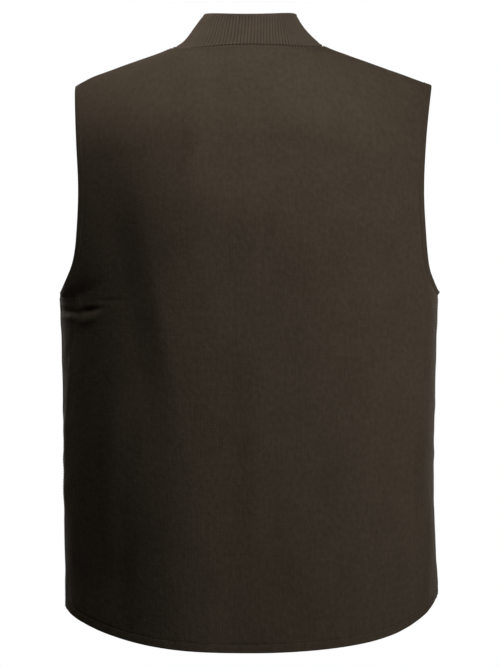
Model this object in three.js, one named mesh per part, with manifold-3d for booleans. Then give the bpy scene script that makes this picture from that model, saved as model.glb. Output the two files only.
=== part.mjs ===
// A sleeveless work vest in dark brown canvas, in the form it has when it is worn and zipped up.
// Seven sewn pieces: a one-piece back, two fronts, a rib-knit collar, two armhole bindings, a front zip.
// Millimetres, +Z up, +Y towards the wearer's front, +X to the wearer's right.
// The origin is on the centre plane, at the height of the middles of the shoulder seams.
import * as THREE from 'three';
import { mergeVertices } from 'three/addons/utils/BufferGeometryUtils.js';
import Module from 'manifold-3d';

// Cloth and seams
const CLOTH = 3; // wall of the canvas panels
const SEAM_GAP = 0.4; // clear space between pieces sewn edge to edge
const COLLAR_GAP = 0.7; // clear space under the collar, whose ribs are finer than the neckline's facets
const HEM_DEPTH = 10; // height of the turned-up hem
const HEM_EXTRA = 1.2; // extra wall where the hem lies double
const HEM_STEP = 3; // height over which the hem's extra wall runs out

// Heights of the body's landmarks
const UNDERARM = -270;
const HEM_AT_SIDE = { left: -630, right: -618 };
const HEM_AT_CENTRE = { back: -674, front: -646 };
const HEM_ROUND = { left: 0.6, right: 0.5 }; // share of the hem's drop that is a plain parabola
const HEM_CORNER_POWER = 8; // the rest turns up late, near the side seams

// Sections of the body: half-widths to each side, depths from the side seams to back and front
const BODY = [
  { z: -700, left: 216.0, right: 219.5, back: 119, front: 117 },
  { z: -610, left: 216.0, right: 218.5, back: 118, front: 117 },
  { z: -500, left: 217.5, right: 213.0, back: 117, front: 116 },
  { z: -400, left: 218.5, right: 214.5, back: 119, front: 117 },
  { z: -320, left: 220.5, right: 217.0, back: 122, front: 119 },
  { z: -270, left: 223.0, right: 219.5, back: 124, front: 121 },
  { z: -180, left: 223.0, right: 219.5, back: 126, front: 120 },
  { z: -95, left: 223.0, right: 219.5, back: 122, front: 112 },
];
const SQUARENESS = 2.4; // exponent of the rounded sections: 2 is an ellipse

// Where the canvas ends at the armhole, as half-widths of the back
const ARMHOLE = [
  { z: -270, left: 223.0, right: 219.5 },
  { z: -266, left: 219.2, right: 216.4 },
  { z: -257, left: 211.2, right: 209.8 },
  { z: -246, left: 205.2, right: 204.8 },
  { z: -230, left: 200.2, right: 201.6 },
  { z: -205, left: 196.2, right: 198.8 },
  { z: -150, left: 193.4, right: 195.6 },
  { z: -90, left: 196.4, right: 198.6 },
  { z: -22, left: 200.0, right: 206.0 },
];
const FRONT_ARMHOLE_CUT = 10; // how much deeper the front is cut at the middle of the armhole

// Shoulders: the seam runs along the ridge, from the neck point to the tip
const NECK_POINT = { x: 92, z: 20.1 };
const SHOULDER_SLOPE = 0.357;
const TIP_DROOP = { left: 3, right: 0 }; // how far the shoulder's tip sinks below the straight seam
const TIP_ROUND = 24; // length of the seam that droops
const RIDGE_AT_CENTRE = { back: 45, front: 6 }; // where the ridge would be if it ran on to the centre plane
const RUN_ON_SLOPE = 0.5; // slope of that imagined ridge just inside the neck point
const ROLL_HEIGHT = { neck: 130, tip: 96 }; // how far the cloth curves over below the ridge
const RIDGE_ANGLE = THREE.MathUtils.degToRad(77); // a quarter turn would be a fully round ridge

// Neckline, and the free edge of the collar above it
const NECKLINE = { back: 64, front: 72 }; // depth in plan from the shoulder ridge, at the centre
const COLLAR_TOP = { half: 54, back: -46, side: 10, front: 66, zBack: 55, zSide: 62, zFront: 8 };
const COLLAR_FALL = 1.5; // exponent of the top edge's fall towards the zip
const COLLAR_FLARE = { steady: 1.15, late: 9, lateShare: 0.28 }; // exponents of its flare towards the seam
const COLLAR_WALL = 4; // knitted double
const RIBS = 112;
const RIB_RELIEF = 0.9; // from groove to crest

// Armhole bindings
const BINDING = { width: 6, proud: 0.7, edge: 1.6 };
const BINDING_FLARE = { left: 4, right: 22 }; // degrees that it stands away from the body at the underarm

// Front zip
const FRONT_OPENING = 6.5; // half the gap between the two fronts
const ZIP = { tape: 13, tapeWall: 1.2, teeth: 3, teethTop: -0.8, clear: 0.7, endBelowCollar: 4 };
const ZIP_COLLAR_BEND = 1.6; // how far the tape's edges follow the round collar
const SLIDER = { width: 9, height: 12, depth: 4.6, centreBelowEnd: 9 };
const PULL = { width: 7, length: 26, wall: 1.6 };

// Soft folds: a row for each, displaced along the cloth's normal; depth is negative for a dent
const FOLDS = [
  { face: 'back', x: -208, z: -289, run: 34, across: 7.5, turn: 4, depth: -4.2 },
  { face: 'back', x: -206, z: -303, run: 38, across: 7.0, turn: 10, depth: 3.4 },
  { face: 'back', x: -200, z: -318, run: 30, across: 9.0, turn: 16, depth: -2.6 },
  { face: 'back', x: -190, z: -430, run: 150, across: 12, turn: 90, depth: -3.2 },
  { face: 'back', x: -152, z: -470, run: 170, across: 16, turn: 88, depth: 2.6 },
  { face: 'back', x: -118, z: -480, run: 180, across: 18, turn: 90, depth: -2.4 },
  { face: 'back', x: 12, z: -450, run: 120, across: 20, turn: 90, depth: 2.0 },
  { face: 'back', x: -66, z: -120, run: 70, across: 18, turn: 84, depth: 1.8 },
  { face: 'back', x: 190, z: -520, run: 120, across: 14, turn: 90, depth: -2.4 },
  { face: 'front', x: 150, z: -430, run: 170, across: 22, turn: 90, depth: -3.0 },
  { face: 'front', x: -150, z: -440, run: 170, across: 22, turn: 90, depth: -3.0 },
];

// Grid of the panels
const NECK_CELLS = 5;
const SHOULDER_CELLS = 9;
const SIDE_ROWS = 11; // hem to underarm, closer together towards the underarm
const ARM_ROWS = 6; // underarm to the start of the shoulder's curve
const ROLL_ROWS = 6; // over the shoulder
const SIDE_CROWDING = 1.6;
const ARM_CROWDING = 2.2;
const COLLAR_ROWS = [1, 0.9, 0.68, 0.36, 0]; // shares of the way down from the free edge to the seam

const CANVAS = new THREE.MeshStandardMaterial({ color: '#463d33', roughness: 0.92, metalness: 0 });
const RIB_KNIT = new THREE.MeshStandardMaterial({ color: '#4e443a', roughness: 0.95, metalness: 0 });
const BINDING_TAPE = new THREE.MeshStandardMaterial({ color: '#40382e', roughness: 0.9, metalness: 0 });
const ZIP_TEETH = new THREE.MeshStandardMaterial({ color: '#332c25', roughness: 0.55, metalness: 0.1 });

const { lerp, clamp, smoothstep } = THREE.MathUtils;
const sideOf = (x) => (x < 0 ? 'left' : 'right');
const outwards = (face) => (face === 'back' ? -1 : 1);

// One column of a table of sections, read at height z by a smooth cubic between the rows.
function sectionAt(table, column, z) {
  const rows = [...table].sort((a, b) => a.z - b.z);
  const last = rows.length - 1;
  const at = clamp(z, rows[0].z, rows[last].z);
  const i = clamp(rows.findIndex((row) => row.z >= at) - 1, 0, last - 1);
  const slope = (k) => {
    const a = rows[Math.max(k - 1, 0)];
    const b = rows[Math.min(k + 1, last)];
    return (b[column] - a[column]) / (b.z - a.z);
  };
  const span = rows[i + 1].z - rows[i].z;
  const t = (at - rows[i].z) / span;
  const from = rows[i][column] * (1 + 2 * t) * (1 - t) ** 2 + slope(i) * span * t * (1 - t) ** 2;
  const to = rows[i + 1][column] * t * t * (3 - 2 * t) + slope(i + 1) * span * t * t * (t - 1);
  return from + to;
}

// Depth of the body's rounded section at a place, from the plane of the side seams.
function bodyDepth(face, x, z) {
  const share = Math.min(Math.abs(x) / sectionAt(BODY, sideOf(x), z), 1);
  return sectionAt(BODY, face, z) * (1 - share ** SQUARENESS) ** (1 / SQUARENESS);
}

// Lower edge of a panel, at a share of the way from the centre to the side seam.
function hemHeight(face, side, share) {
  const rise = lerp(share ** HEM_CORNER_POWER, share ** 2, HEM_ROUND[side]);
  return lerp(HEM_AT_CENTRE[face], HEM_AT_SIDE[side], rise);
}

// How far the neckline stands from the shoulder ridge, in plan.
function neckDepth(face, x) {
  const share = Math.min(Math.abs(x) / NECK_POINT.x, 1);
  return NECKLINE[face] * Math.sqrt(1 - share ** 2);
}

// Half-width at the shoulder's tip, where the canvas ends.
const shoulderTip = (side) => sectionAt(ARMHOLE, side, 0);

// Shoulder ridge: along the seam, and run on smoothly to the centre plane inside the neck.
function ridgeHeight(face, x) {
  const beyond = Math.abs(x) - NECK_POINT.x;
  if (beyond >= 0) {
    const droop = Math.max(1 - (shoulderTip(sideOf(x)) - Math.abs(x)) / TIP_ROUND, 0);
    return NECK_POINT.z - SHOULDER_SLOPE * beyond - TIP_DROOP[sideOf(x)] * droop ** 2;
  }
  const t = Math.abs(x) / NECK_POINT.x;
  const ends = lerp(RIDGE_AT_CENTRE[face], NECK_POINT.z, t * t * (3 - 2 * t));
  return ends + RUN_ON_SLOPE * NECK_POINT.x * t * t * (1 - t);
}

// How the cloth at x curves over from the upright body to the shoulder ridge or the neckline.
function shoulderRoll(face, x) {
  const outward = Math.min(Math.abs(x) / shoulderTip(sideOf(x)), 1);
  const height = lerp(ROLL_HEIGHT.neck, ROLL_HEIGHT.tip, outward ** 2);
  const ridge = ridgeHeight(face, x);
  const depth = bodyDepth(face, x, ridge - height);
  const flat = Math.cos(RIDGE_ANGLE);
  const topAngle = Math.acos(clamp(flat + (neckDepth(face, x) / depth) * (1 - flat), flat, 1));
  return { height, depth, flat, topAngle, ridge, start: ridge - height };
}

// A place on the smooth body. level runs 0 at the hem, 1 at the underarm, 2 where the shoulder's
// curve starts, 3 at the shoulder seam or neckline.
function bodyPoint(face, x, level) {
  const roll = shoulderRoll(face, x);
  if (level <= 2) {
    const share = Math.min(Math.abs(x) / edgeHalfWidth(face, sideOf(x), level), 1);
    const z = level <= 1
      ? lerp(hemHeight(face, sideOf(x), share), UNDERARM, level)
      : lerp(UNDERARM, roll.start, level - 1);
    const depth = z < roll.start ? bodyDepth(face, x, z) : roll.depth;
    return new THREE.Vector3(x, outwards(face) * depth, z);
  }
  const angle = roll.topAngle * (level - 2);
  const depth = (roll.depth * (Math.cos(angle) - roll.flat)) / (1 - roll.flat);
  const z = roll.ridge - roll.height * (1 - Math.sin(angle) / Math.sin(RIDGE_ANGLE));
  return new THREE.Vector3(x, outwards(face) * depth, z);
}

// Half-width of a panel at its side seam or armhole.
function edgeHalfWidth(face, side, level) {
  if (level <= 1) return sectionAt(BODY, side, lerp(HEM_AT_SIDE[side], UNDERARM, level));
  const tip = shoulderTip(side);
  const top = NECK_POINT.z - SHOULDER_SLOPE * (tip - NECK_POINT.x) - TIP_DROOP[side];
  const angle = RIDGE_ANGLE * Math.max(level - 2, 0);
  const z = level <= 2
    ? lerp(UNDERARM, top - ROLL_HEIGHT.tip, level - 1)
    : top - ROLL_HEIGHT.tip * (1 - Math.sin(angle) / Math.sin(RIDGE_ANGLE));
  const up = (z - UNDERARM) / (top - UNDERARM);
  const cut = face === 'front' ? FRONT_ARMHOLE_CUT * Math.sin(Math.PI * up) : 0;
  return sectionAt(ARMHOLE, side, z) - cut;
}

// Distance of a panel's grid line from the centre: spaced by angle round the body at the hem,
// and at the top so that one line meets the neck point.
function gridLine(face, side, index, level) {
  const cells = NECK_CELLS + SHOULDER_CELLS;
  const inner = face === 'front' ? FRONT_OPENING : 0;
  const edge = edgeHalfWidth(face, side, level);
  const tip = edgeHalfWidth(face, side, 3);
  const first = Math.asin(inner / NECK_POINT.x);
  const atTop = index <= NECK_CELLS
    ? NECK_POINT.x * Math.sin(lerp(first, Math.PI / 2, index / NECK_CELLS))
    : lerp(NECK_POINT.x, tip, (index - NECK_CELLS) / SHOULDER_CELLS);
  const low = Math.sin((index / cells) * (Math.PI / 2));
  const high = (atTop - inner) / (tip - inner);
  return inner + (edge - inner) * lerp(low, high, smoothstep(level, 1, 3));
}

// Levels of the panels' grid rows, with close rows for the hem's fold.
function rowLevels() {
  const side = UNDERARM - HEM_AT_SIDE.left;
  const hem = [0, HEM_DEPTH / side, (HEM_DEPTH + HEM_STEP) / side];
  const spread = (count, from, to, power) =>
    Array.from({ length: count }, (_, i) => lerp(from, to, ((i + 1) / count) ** power));
  const body = spread(SIDE_ROWS, 0, 1 - hem[2], SIDE_CROWDING).map((below) => 1 - below);
  const upTo = [...body.slice(0, -1).reverse(), 1];
  const arm = spread(ARM_ROWS, 1, 2, ARM_CROWDING);
  return [...hem, ...upTo, ...arm, ...spread(ROLL_ROWS, 2, 3, 1)];
}

// Sum of the soft folds at a place on the body.
function foldAt(face, point) {
  let lift = 0;
  for (const fold of FOLDS.filter((row) => row.face === face)) {
    const turn = THREE.MathUtils.degToRad(fold.turn);
    const dx = point.x - fold.x;
    const dz = point.z - fold.z;
    const along = (dx * Math.cos(turn) + dz * Math.sin(turn)) / fold.run;
    const across = (dz * Math.cos(turn) - dx * Math.sin(turn)) / fold.across;
    lift += fold.depth * Math.exp(-along * along - across * across);
  }
  return lift;
}

// Unit normals of a grid of points whose columns and rows are both at hand, pointing out.
function gridNormals(rows) {
  return rows.map((row, i) => row.map((_, j) => {
    const across = row[Math.min(j + 1, row.length - 1)].clone().sub(row[Math.max(j - 1, 0)]);
    const below = rows[Math.max(i - 1, 0)][j];
    const above = rows[Math.min(i + 1, rows.length - 1)][j];
    return across.cross(above.clone().sub(below)).normalize();
  }));
}

// Outward direction in the plane of the side seams, where two panels meet face to face.
const acrossSideSeam = (normal) => new THREE.Vector3(normal.x, 0, normal.z).normalize();

// Outward direction on the shoulder seam, the same for the back and the front sewn there.
function acrossShoulderSeam(x) {
  const step = Math.sign(x); // a millimetre towards the tip
  const fall = ridgeHeight('back', x) - ridgeHeight('back', x + step);
  return new THREE.Vector3(step * fall, 0, 1).normalize();
}

// Outer and inner points of a panel, in rows from the hem up. across runs so that faces point out.
function panelGrid(face, columns) {
  const levels = rowLevels();
  const seam = (outwards(face) * SEAM_GAP) / 2;
  const smooth = levels.map((level) => columns.map(({ side, index }) => {
    const x = gridLine(face, side, index, level) * (side === 'left' ? -1 : 1);
    return bodyPoint(face, x, level);
  }));
  const normals = gridNormals(smooth);
  const outermost = NECK_CELLS + SHOULDER_CELLS;
  const outer = smooth.map((row, i) => row.map((point, j) => {
    const held = columns[j].index === outermost || i === levels.length - 1;
    const lift = held ? 0 : foldAt(face, point);
    return point.clone().addScaledVector(normals[i][j], lift).add(new THREE.Vector3(0, seam, 0));
  }));
  const offsets = outer.map((row, i) => row.map((_, j) => {
    const { index } = columns[j];
    let direction = normals[i][j].clone();
    if (index === outermost && levels[i] <= 1) direction = acrossSideSeam(normals[i][j]);
    if (index >= NECK_CELLS && levels[i] === 3) direction = acrossShoulderSeam(smooth[i][j].x);
    return direction.multiplyScalar(-(CLOTH + (i < 2 ? HEM_EXTRA : 0)));
  }));
  const inner = outer.map((row, i) => row.map((point, j) => point.clone().add(offsets[i][j])));
  return { outer, inner, normals, columns, levels };
}

// Columns of a panel from one edge to the other.
function columnsOf(face, side) {
  const cells = NECK_CELLS + SHOULDER_CELLS;
  const half = (name) => Array.from({ length: cells + 1 }, (_, index) => ({ side: name, index }));
  if (face === 'back') return [...half('left').reverse(), ...half('right').slice(1)];
  return side === 'left' ? half('left') : half('right').reverse();
}

// Geometry from points and triangles, turned to face out.
function closedGeometry(points, triangles) {
  let volume = 0;
  for (const [a, b, c] of triangles) volume += points[a].dot(points[b].clone().cross(points[c]));
  const facing = volume < 0 ? triangles.map(([a, b, c]) => [a, c, b]) : triangles;
  const geometry = new THREE.BufferGeometry().setFromPoints(points);
  geometry.setIndex(facing.flat());
  geometry.computeVertexNormals();
  return geometry;
}

// A wall between two grids of points: both faces and the rim all round.
function wallGeometry(outer, inner) {
  const rows = outer.length;
  const across = outer[0].length;
  const points = [...outer.flat(), ...inner.flat()];
  const at = (layer, i, j) => layer * rows * across + i * across + j;
  const triangles = [];
  const quad = (a, b, c, d) => triangles.push([a, b, c], [a, c, d]);
  for (let i = 0; i + 1 < rows; i++) {
    for (let j = 0; j + 1 < across; j++) {
      quad(at(0, i, j), at(0, i, j + 1), at(0, i + 1, j + 1), at(0, i + 1, j));
      quad(at(1, i, j), at(1, i + 1, j), at(1, i + 1, j + 1), at(1, i, j + 1));
    }
    for (const [j, first, second] of [[0, 0, 1], [across - 1, 1, 0]]) {
      quad(at(first, i, j), at(first, i + 1, j), at(second, i + 1, j), at(second, i, j));
    }
  }
  for (let j = 0; j + 1 < across; j++) {
    for (const [i, first, second] of [[0, 1, 0], [rows - 1, 0, 1]]) {
      quad(at(first, i, j), at(first, i, j + 1), at(second, i, j + 1), at(second, i, j));
    }
  }
  return closedGeometry(points, triangles);
}

// A bar swept through rings of points; an open bar gets a cap at each end.
function barGeometry(rings, section, isLoop) {
  const sides = section.length;
  const triangles = [];
  const steps = isLoop ? rings.length : rings.length - 1;
  for (let i = 0; i < steps; i++) {
    const next = (i + 1) % rings.length;
    for (let k = 0; k < sides; k++) {
      const side = (k + 1) % sides;
      triangles.push([i * sides + k, i * sides + side, next * sides + side]);
      triangles.push([i * sides + k, next * sides + side, next * sides + k]);
    }
  }
  if (!isLoop) {
    const last = (rings.length - 1) * sides;
    for (const [a, b, c] of THREE.ShapeUtils.triangulateShape(section, [])) {
      triangles.push([c, b, a], [last + a, last + b, last + c]);
    }
  }
  return closedGeometry(rings.flat(), triangles);
}

// Places spaced evenly along a polyline, each as the segment it is in and its share of that segment.
function evenPlaces(line, count) {
  const along = [0];
  for (let i = 1; i < line.length; i++) along.push(along[i - 1] + line[i].distanceTo(line[i - 1]));
  return Array.from({ length: count + 1 }, (_, k) => {
    const length = (along.at(-1) * k) / count;
    const segment = clamp(along.findIndex((reached) => reached >= length) - 1, 0, line.length - 2);
    return { segment, share: (length - along[segment]) / (along[segment + 1] - along[segment]) };
  });
}

const pointAt = (line, { segment, share }) => line[segment].clone().lerp(line[segment + 1], share);

// Free edge of the collar, from the zip's left side round the back to its right side.
function collarTopEdge() {
  const { half, back, side, front, zBack, zSide, zFront } = COLLAR_TOP;
  const first = Math.asin(FRONT_OPENING / half);
  const steps = 180;
  return Array.from({ length: steps + 1 }, (_, i) => {
    const turn = lerp(first, 2 * Math.PI - first, i / steps);
    const reach = Math.cos(turn);
    const y = reach > 0 ? lerp(side, front, reach) : lerp(side, back, -reach);
    const z = reach > 0 ? lerp(zSide, zFront, reach ** COLLAR_FALL) : lerp(zSide, zBack, -reach);
    return new THREE.Vector3(-half * Math.sin(turn), y, z);
  });
}

// How far the collar has flared out from its free edge, at a share of the way down to the seam.
function collarFlare(down) {
  const { steady, late, lateShare } = COLLAR_FLARE;
  return lerp(down ** steady, down ** late, lateShare);
}

// The collar stands on the neckline edge of the three panels, and its ribs run up to the free edge.
function collarGeometry(backPanel, leftPanel, rightPanel) {
  const neckOf = (panel, rows) => panel[rows].at(-1).filter((_, j) => panel.columns[j].index <= NECK_CELLS);
  const ring = (rows) => [leftPanel, backPanel, rightPanel].flatMap((panel) => neckOf(panel, rows));
  const count = 2 * RIBS;
  const places = evenPlaces(ring('outer'), count);
  const seam = places.map((place) => pointAt(ring('outer'), place));
  const mitre = places.map((place, k) => pointAt(ring('inner'), place).sub(seam[k]).normalize());
  const edge = collarTopEdge();
  const top = evenPlaces(edge, count).map((place) => pointAt(edge, place));
  const base = seam.map((point, k) => {
    const along = seam[Math.min(k + 1, count)].clone().sub(seam[Math.max(k - 1, 0)]);
    const clear = along.cross(mitre[k]).normalize();
    return point.clone().addScaledVector(clear, COLLAR_GAP);
  });
  const smooth = COLLAR_ROWS.map((down) => base.map((foot, k) => {
    const point = top[k].clone().lerp(foot, collarFlare(down));
    return point.setZ(lerp(top[k].z, foot.z, down));
  }));
  const normals = gridNormals(smooth);
  const inwards = smooth.map((row, i) => row.map((_, k) => {
    return normals[i][k].clone().negate().lerp(mitre[k], COLLAR_ROWS[i]).normalize();
  }));
  const relief = (i, k) => (k % 2 ? 0.5 : -0.5) * RIB_RELIEF * (i === 0 ? 0 : 1);
  const moved = (distance) => smooth.map((row, i) => row.map((point, k) => {
    return point.clone().addScaledVector(inwards[i][k], distance(i, k));
  }));
  return wallGeometry(moved((i, k) => -relief(i, k)), moved(() => COLLAR_WALL));
}

// The armhole's edge in the canvas: up the back, over the shoulder seam, down the front.
function armholeEdge(side, backPanel, frontPanel) {
  const outermost = NECK_CELLS + SHOULDER_CELLS;
  const edgeOf = (panel) => {
    const j = panel.columns.findIndex((column) => column.side === side && column.index === outermost);
    const from = panel.levels.findIndex((level) => level >= 1);
    return panel.outer.slice(from).map((row, i) => ({ point: row[j], normal: panel.normals[from + i][j] }));
  };
  const back = edgeOf(backPanel);
  const front = edgeOf(frontPanel);
  const sewn = (a, b) => ({
    point: a.point.clone().lerp(b.point, 0.5),
    normal: a.normal.clone().add(b.normal).setY(0).normalize(),
  });
  const tip = sewn(back.at(-1), front.at(-1));
  const underarm = sewn(back[0], front[0]);
  return [underarm, ...back.slice(1, -1), tip, ...front.slice(1, -1).reverse()];
}

// A binding carries the armhole on past the canvas, a little thicker than it, and flares at the underarm.
function bindingGeometry(side, backPanel, frontPanel) {
  const edge = armholeEdge(side, backPanel, frontPanel);
  const { width, proud, edge: round } = BINDING;
  const near = SEAM_GAP;
  const far = SEAM_GAP + width;
  const back = -CLOTH - proud;
  const section = [[near, back], [near, proud], [far - round, proud], [far, proud - round],
    [far, back + round], [far - round, back]].map(([u, n]) => new THREE.Vector2(u, n));
  const rings = edge.map(({ point, normal }, i) => {
    const before = edge.at(i - 1).point;
    const after = edge[(i + 1) % edge.length].point;
    const outOfCloth = after.clone().sub(before).cross(normal).normalize();
    if (side === 'left') outOfCloth.negate();
    const low = smoothstep(-point.z, -UNDERARM - 40, -UNDERARM);
    const flare = THREE.MathUtils.degToRad(BINDING_FLARE[side]) * low;
    const turned = (a, b, angle) => {
      return a.clone().multiplyScalar(Math.cos(angle)).addScaledVector(b, Math.sin(angle));
    };
    const along = turned(outOfCloth, normal, flare);
    const proudWay = turned(normal, outOfCloth, -flare);
    return section.map(({ x, y }) => point.clone()
      .addScaledVector(outOfCloth, near).addScaledVector(along, x - near).addScaledVector(proudWay, y));
  });
  return barGeometry(rings, section, true);
}

// The line up the middle of the front, from above the hem's fold to just below the collar's free edge.
function frontLine() {
  const gap = new THREE.Vector3(0, SEAM_GAP / 2, 0);
  const panel = rowLevels().slice(2).map((level) => bodyPoint('front', 0, level).add(gap));
  const seam = panel.at(-1);
  const collar = COLLAR_ROWS.slice(1).map((down) => {
    const y = lerp(COLLAR_TOP.front, seam.y, collarFlare(down));
    return new THREE.Vector3(0, y, lerp(COLLAR_TOP.zFront, seam.z, down));
  });
  const last = collar.at(-1);
  last.lerp(collar.at(-2), ZIP.endBelowCollar / last.distanceTo(collar.at(-2)));
  return { line: [...panel, ...collar], seam };
}

// Solid of manifold-3d from a geometry, to join pieces with.
function solidOf(wasm, geometry) {
  const bare = geometry.clone();
  for (const name of ['normal', 'uv']) bare.deleteAttribute(name);
  const merged = mergeVertices(bare);
  return new wasm.Manifold(new wasm.Mesh({
    numProp: 3,
    vertProperties: new Float32Array(merged.attributes.position.array),
    triVerts: new Uint32Array(merged.index.array),
  }));
}

// Geometry of a joined solid.
function geometryOf(solid) {
  const mesh = solid.getMesh();
  const geometry = new THREE.BufferGeometry();
  geometry.setAttribute('position', new THREE.BufferAttribute(mesh.vertProperties, 3));
  geometry.setIndex(new THREE.BufferAttribute(mesh.triVerts, 1));
  geometry.computeVertexNormals();
  return geometry;
}

// The closed zip is one plain piece: tape behind the fronts, teeth between them, slider and pull at the top.
function zipGeometry(wasm) {
  const { tape, tapeWall, teeth, teethTop, clear } = ZIP;
  const { line, seam } = frontLine();
  const section = (deep, bend) => {
    const behind = -deep - tapeWall;
    const half = [[tape, behind - bend], [tape, -deep - bend], [teeth, -deep], [teeth, teethTop]];
    const otherHalf = half.map(([x, n]) => [-x, n]).reverse();
    return [[0, behind], ...half, ...otherHalf].map(([x, n]) => new THREE.Vector2(x, n));
  };
  const unit = (i) => line[i + 1].clone().sub(line[i]).normalize();
  const tangents = line.map((_, i) => {
    return unit(Math.max(i - 1, 0)).add(unit(Math.min(i, line.length - 2))).normalize();
  });
  const facing = (tangent) => new THREE.Vector3(0, tangent.z, -tangent.y);
  const rings = line.map((place, i) => {
    const bend = ZIP_COLLAR_BEND * smoothstep(place.z, seam.z - 80, seam.z - 5);
    const deep = lerp(CLOTH, COLLAR_WALL, smoothstep(place.z, seam.z - 20, seam.z)) + clear;
    return section(deep, bend).map(({ x, y }) => {
      return place.clone().addScaledVector(facing(tangents[i]), y).setX(x);
    });
  });
  const chain = barGeometry(rings, section(CLOTH + clear, 0), false);
  const tangent = tangents.at(-1);
  const seat = line.at(-1).clone().addScaledVector(tangent, -SLIDER.centreBelowEnd);
  const upright = new THREE.Matrix4().makeBasis(new THREE.Vector3(-1, 0, 0), tangent, facing(tangent))
    .setPosition(seat);
  const front = teethTop - 0.4 + SLIDER.depth;
  const body = new THREE.BoxGeometry(SLIDER.width, SLIDER.height, SLIDER.depth)
    .translate(0, 0, front - SLIDER.depth / 2).applyMatrix4(upright);
  const pull = new THREE.BoxGeometry(PULL.width, PULL.length, PULL.wall)
    .translate(0, -PULL.length / 2 + SLIDER.height / 4, front).applyMatrix4(upright);
  const parts = [chain, body, pull].map((geometry) => solidOf(wasm, geometry));
  return geometryOf(parts[0].add(parts[1]).add(parts[2]));
}

const wasm = await Module();
wasm.setup();

const backPanel = panelGrid('back', columnsOf('back'));
const leftPanel = panelGrid('front', columnsOf('front', 'left'));
const rightPanel = panelGrid('front', columnsOf('front', 'right'));

const vest = new THREE.Group();
const addPiece = (name, geometry, material) => {
  const mesh = new THREE.Mesh(geometry, material);
  mesh.name = name;
  vest.add(mesh);
};
addPiece('back_panel', wallGeometry(backPanel.outer, backPanel.inner), CANVAS);
addPiece('front_panel_left', wallGeometry(leftPanel.outer, leftPanel.inner), CANVAS);
addPiece('front_panel_right', wallGeometry(rightPanel.outer, rightPanel.inner), CANVAS);
addPiece('rib_collar', collarGeometry(backPanel, leftPanel, rightPanel), RIB_KNIT);
addPiece('armhole_binding_left', bindingGeometry('left', backPanel, leftPanel), BINDING_TAPE);
addPiece('armhole_binding_right', bindingGeometry('right', backPanel, rightPanel), BINDING_TAPE);
addPiece('front_zip', zipGeometry(wasm), ZIP_TEETH);

export default vest;
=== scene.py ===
"""Looks of a sleeveless work vest in dark brown canvas, in the form it has when it is worn.

Metres, +Z up, +Y towards the front with the zip, +X towards the right side as worn. The panels follow the
rounded sections of the solids they stand for, on a finer grid that carries the cloth's folds and laps.
"""
import math

import bpy
import numpy as np
from mathutils import Matrix, Vector


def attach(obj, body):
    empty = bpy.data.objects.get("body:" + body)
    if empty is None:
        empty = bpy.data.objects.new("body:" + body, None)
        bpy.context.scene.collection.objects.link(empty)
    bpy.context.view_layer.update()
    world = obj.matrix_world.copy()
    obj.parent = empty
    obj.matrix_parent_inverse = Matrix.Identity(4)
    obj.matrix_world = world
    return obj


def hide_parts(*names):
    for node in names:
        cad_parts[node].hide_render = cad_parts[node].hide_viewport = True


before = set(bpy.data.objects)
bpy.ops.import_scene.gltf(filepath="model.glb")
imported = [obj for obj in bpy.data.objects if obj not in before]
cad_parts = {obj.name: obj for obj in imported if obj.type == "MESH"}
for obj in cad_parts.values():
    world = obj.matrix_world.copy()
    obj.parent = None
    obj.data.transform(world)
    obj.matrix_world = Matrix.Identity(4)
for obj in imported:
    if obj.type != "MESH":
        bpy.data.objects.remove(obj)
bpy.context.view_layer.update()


def table(columns, *rows):
    """The rows of a table, each a dict with the named columns."""
    return [dict(zip(columns.split(), row)) for row in rows]


def named_table(columns, *rows):
    """The rows of a table by the name that each starts with."""
    return {name: dict(zip(columns.split(), row)) for name, *row in rows}


# Cloth and seams
CANVAS_WALL = 0.0024
HEM_FOLD = 0.010
HEM_FOLD_END = 0.0016  # over which the folded hem thins out
HEM_EXTRA = 0.0011
SEAM_GAP = 0.0004
SEAM_ALLOWANCE = 0.0003  # how far a seam's inner edge passes the other panel's
SEAM_ROUND = 0.0011  # how far a sewn edge rolls in
NECK_SEAM_ROUND = 0.0021
THINNEST_EDGE = 0.0003
WORN_EDGE = 0.005  # width of the paler cloth along an edge

# Landmarks of the body
UNDERARM = -0.270
HEM_AT_SIDE = {"left": -0.6312, "right": -0.6178}
HEM_AT_CENTRE = {"back": -0.674, "front": -0.646}
HEM_RISE = {  # from the centre to the side: shares of the rise, each with a power of the way out
    "left": table("power share", (2.8, 0.907), (60, 0.093)),
    "right": table("power share", (2, 0.457), (7, 0.543)),
}
BODY = table(
    "z left right back front",
    (-0.700, 0.2160, 0.2195, 0.119, 0.117),
    (-0.610, 0.2160, 0.2185, 0.118, 0.117),
    (-0.500, 0.2175, 0.2130, 0.117, 0.116),
    (-0.400, 0.2185, 0.2145, 0.119, 0.117),
    (-0.320, 0.2205, 0.2165, 0.122, 0.119),
    (-0.270, 0.2226, 0.2183, 0.124, 0.121),
    (-0.180, 0.2230, 0.2183, 0.126, 0.120),
    (-0.095, 0.2230, 0.2183, 0.122, 0.112),
)
SQUARENESS = 2.4
ARMHOLE = table(
    "z left right",
    (-0.270, 0.2226, 0.2183),
    (-0.266, 0.2206, 0.2157),
    (-0.257, 0.2134, 0.2098),
    (-0.246, 0.2064, 0.2048),
    (-0.230, 0.2002, 0.2016),
    (-0.205, 0.1962, 0.1988),
    (-0.150, 0.1934, 0.1956),
    (-0.090, 0.1964, 0.1986),
    (-0.022, 0.2000, 0.2060),
)
FRONT_ARMHOLE_CUT = 0.010

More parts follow.
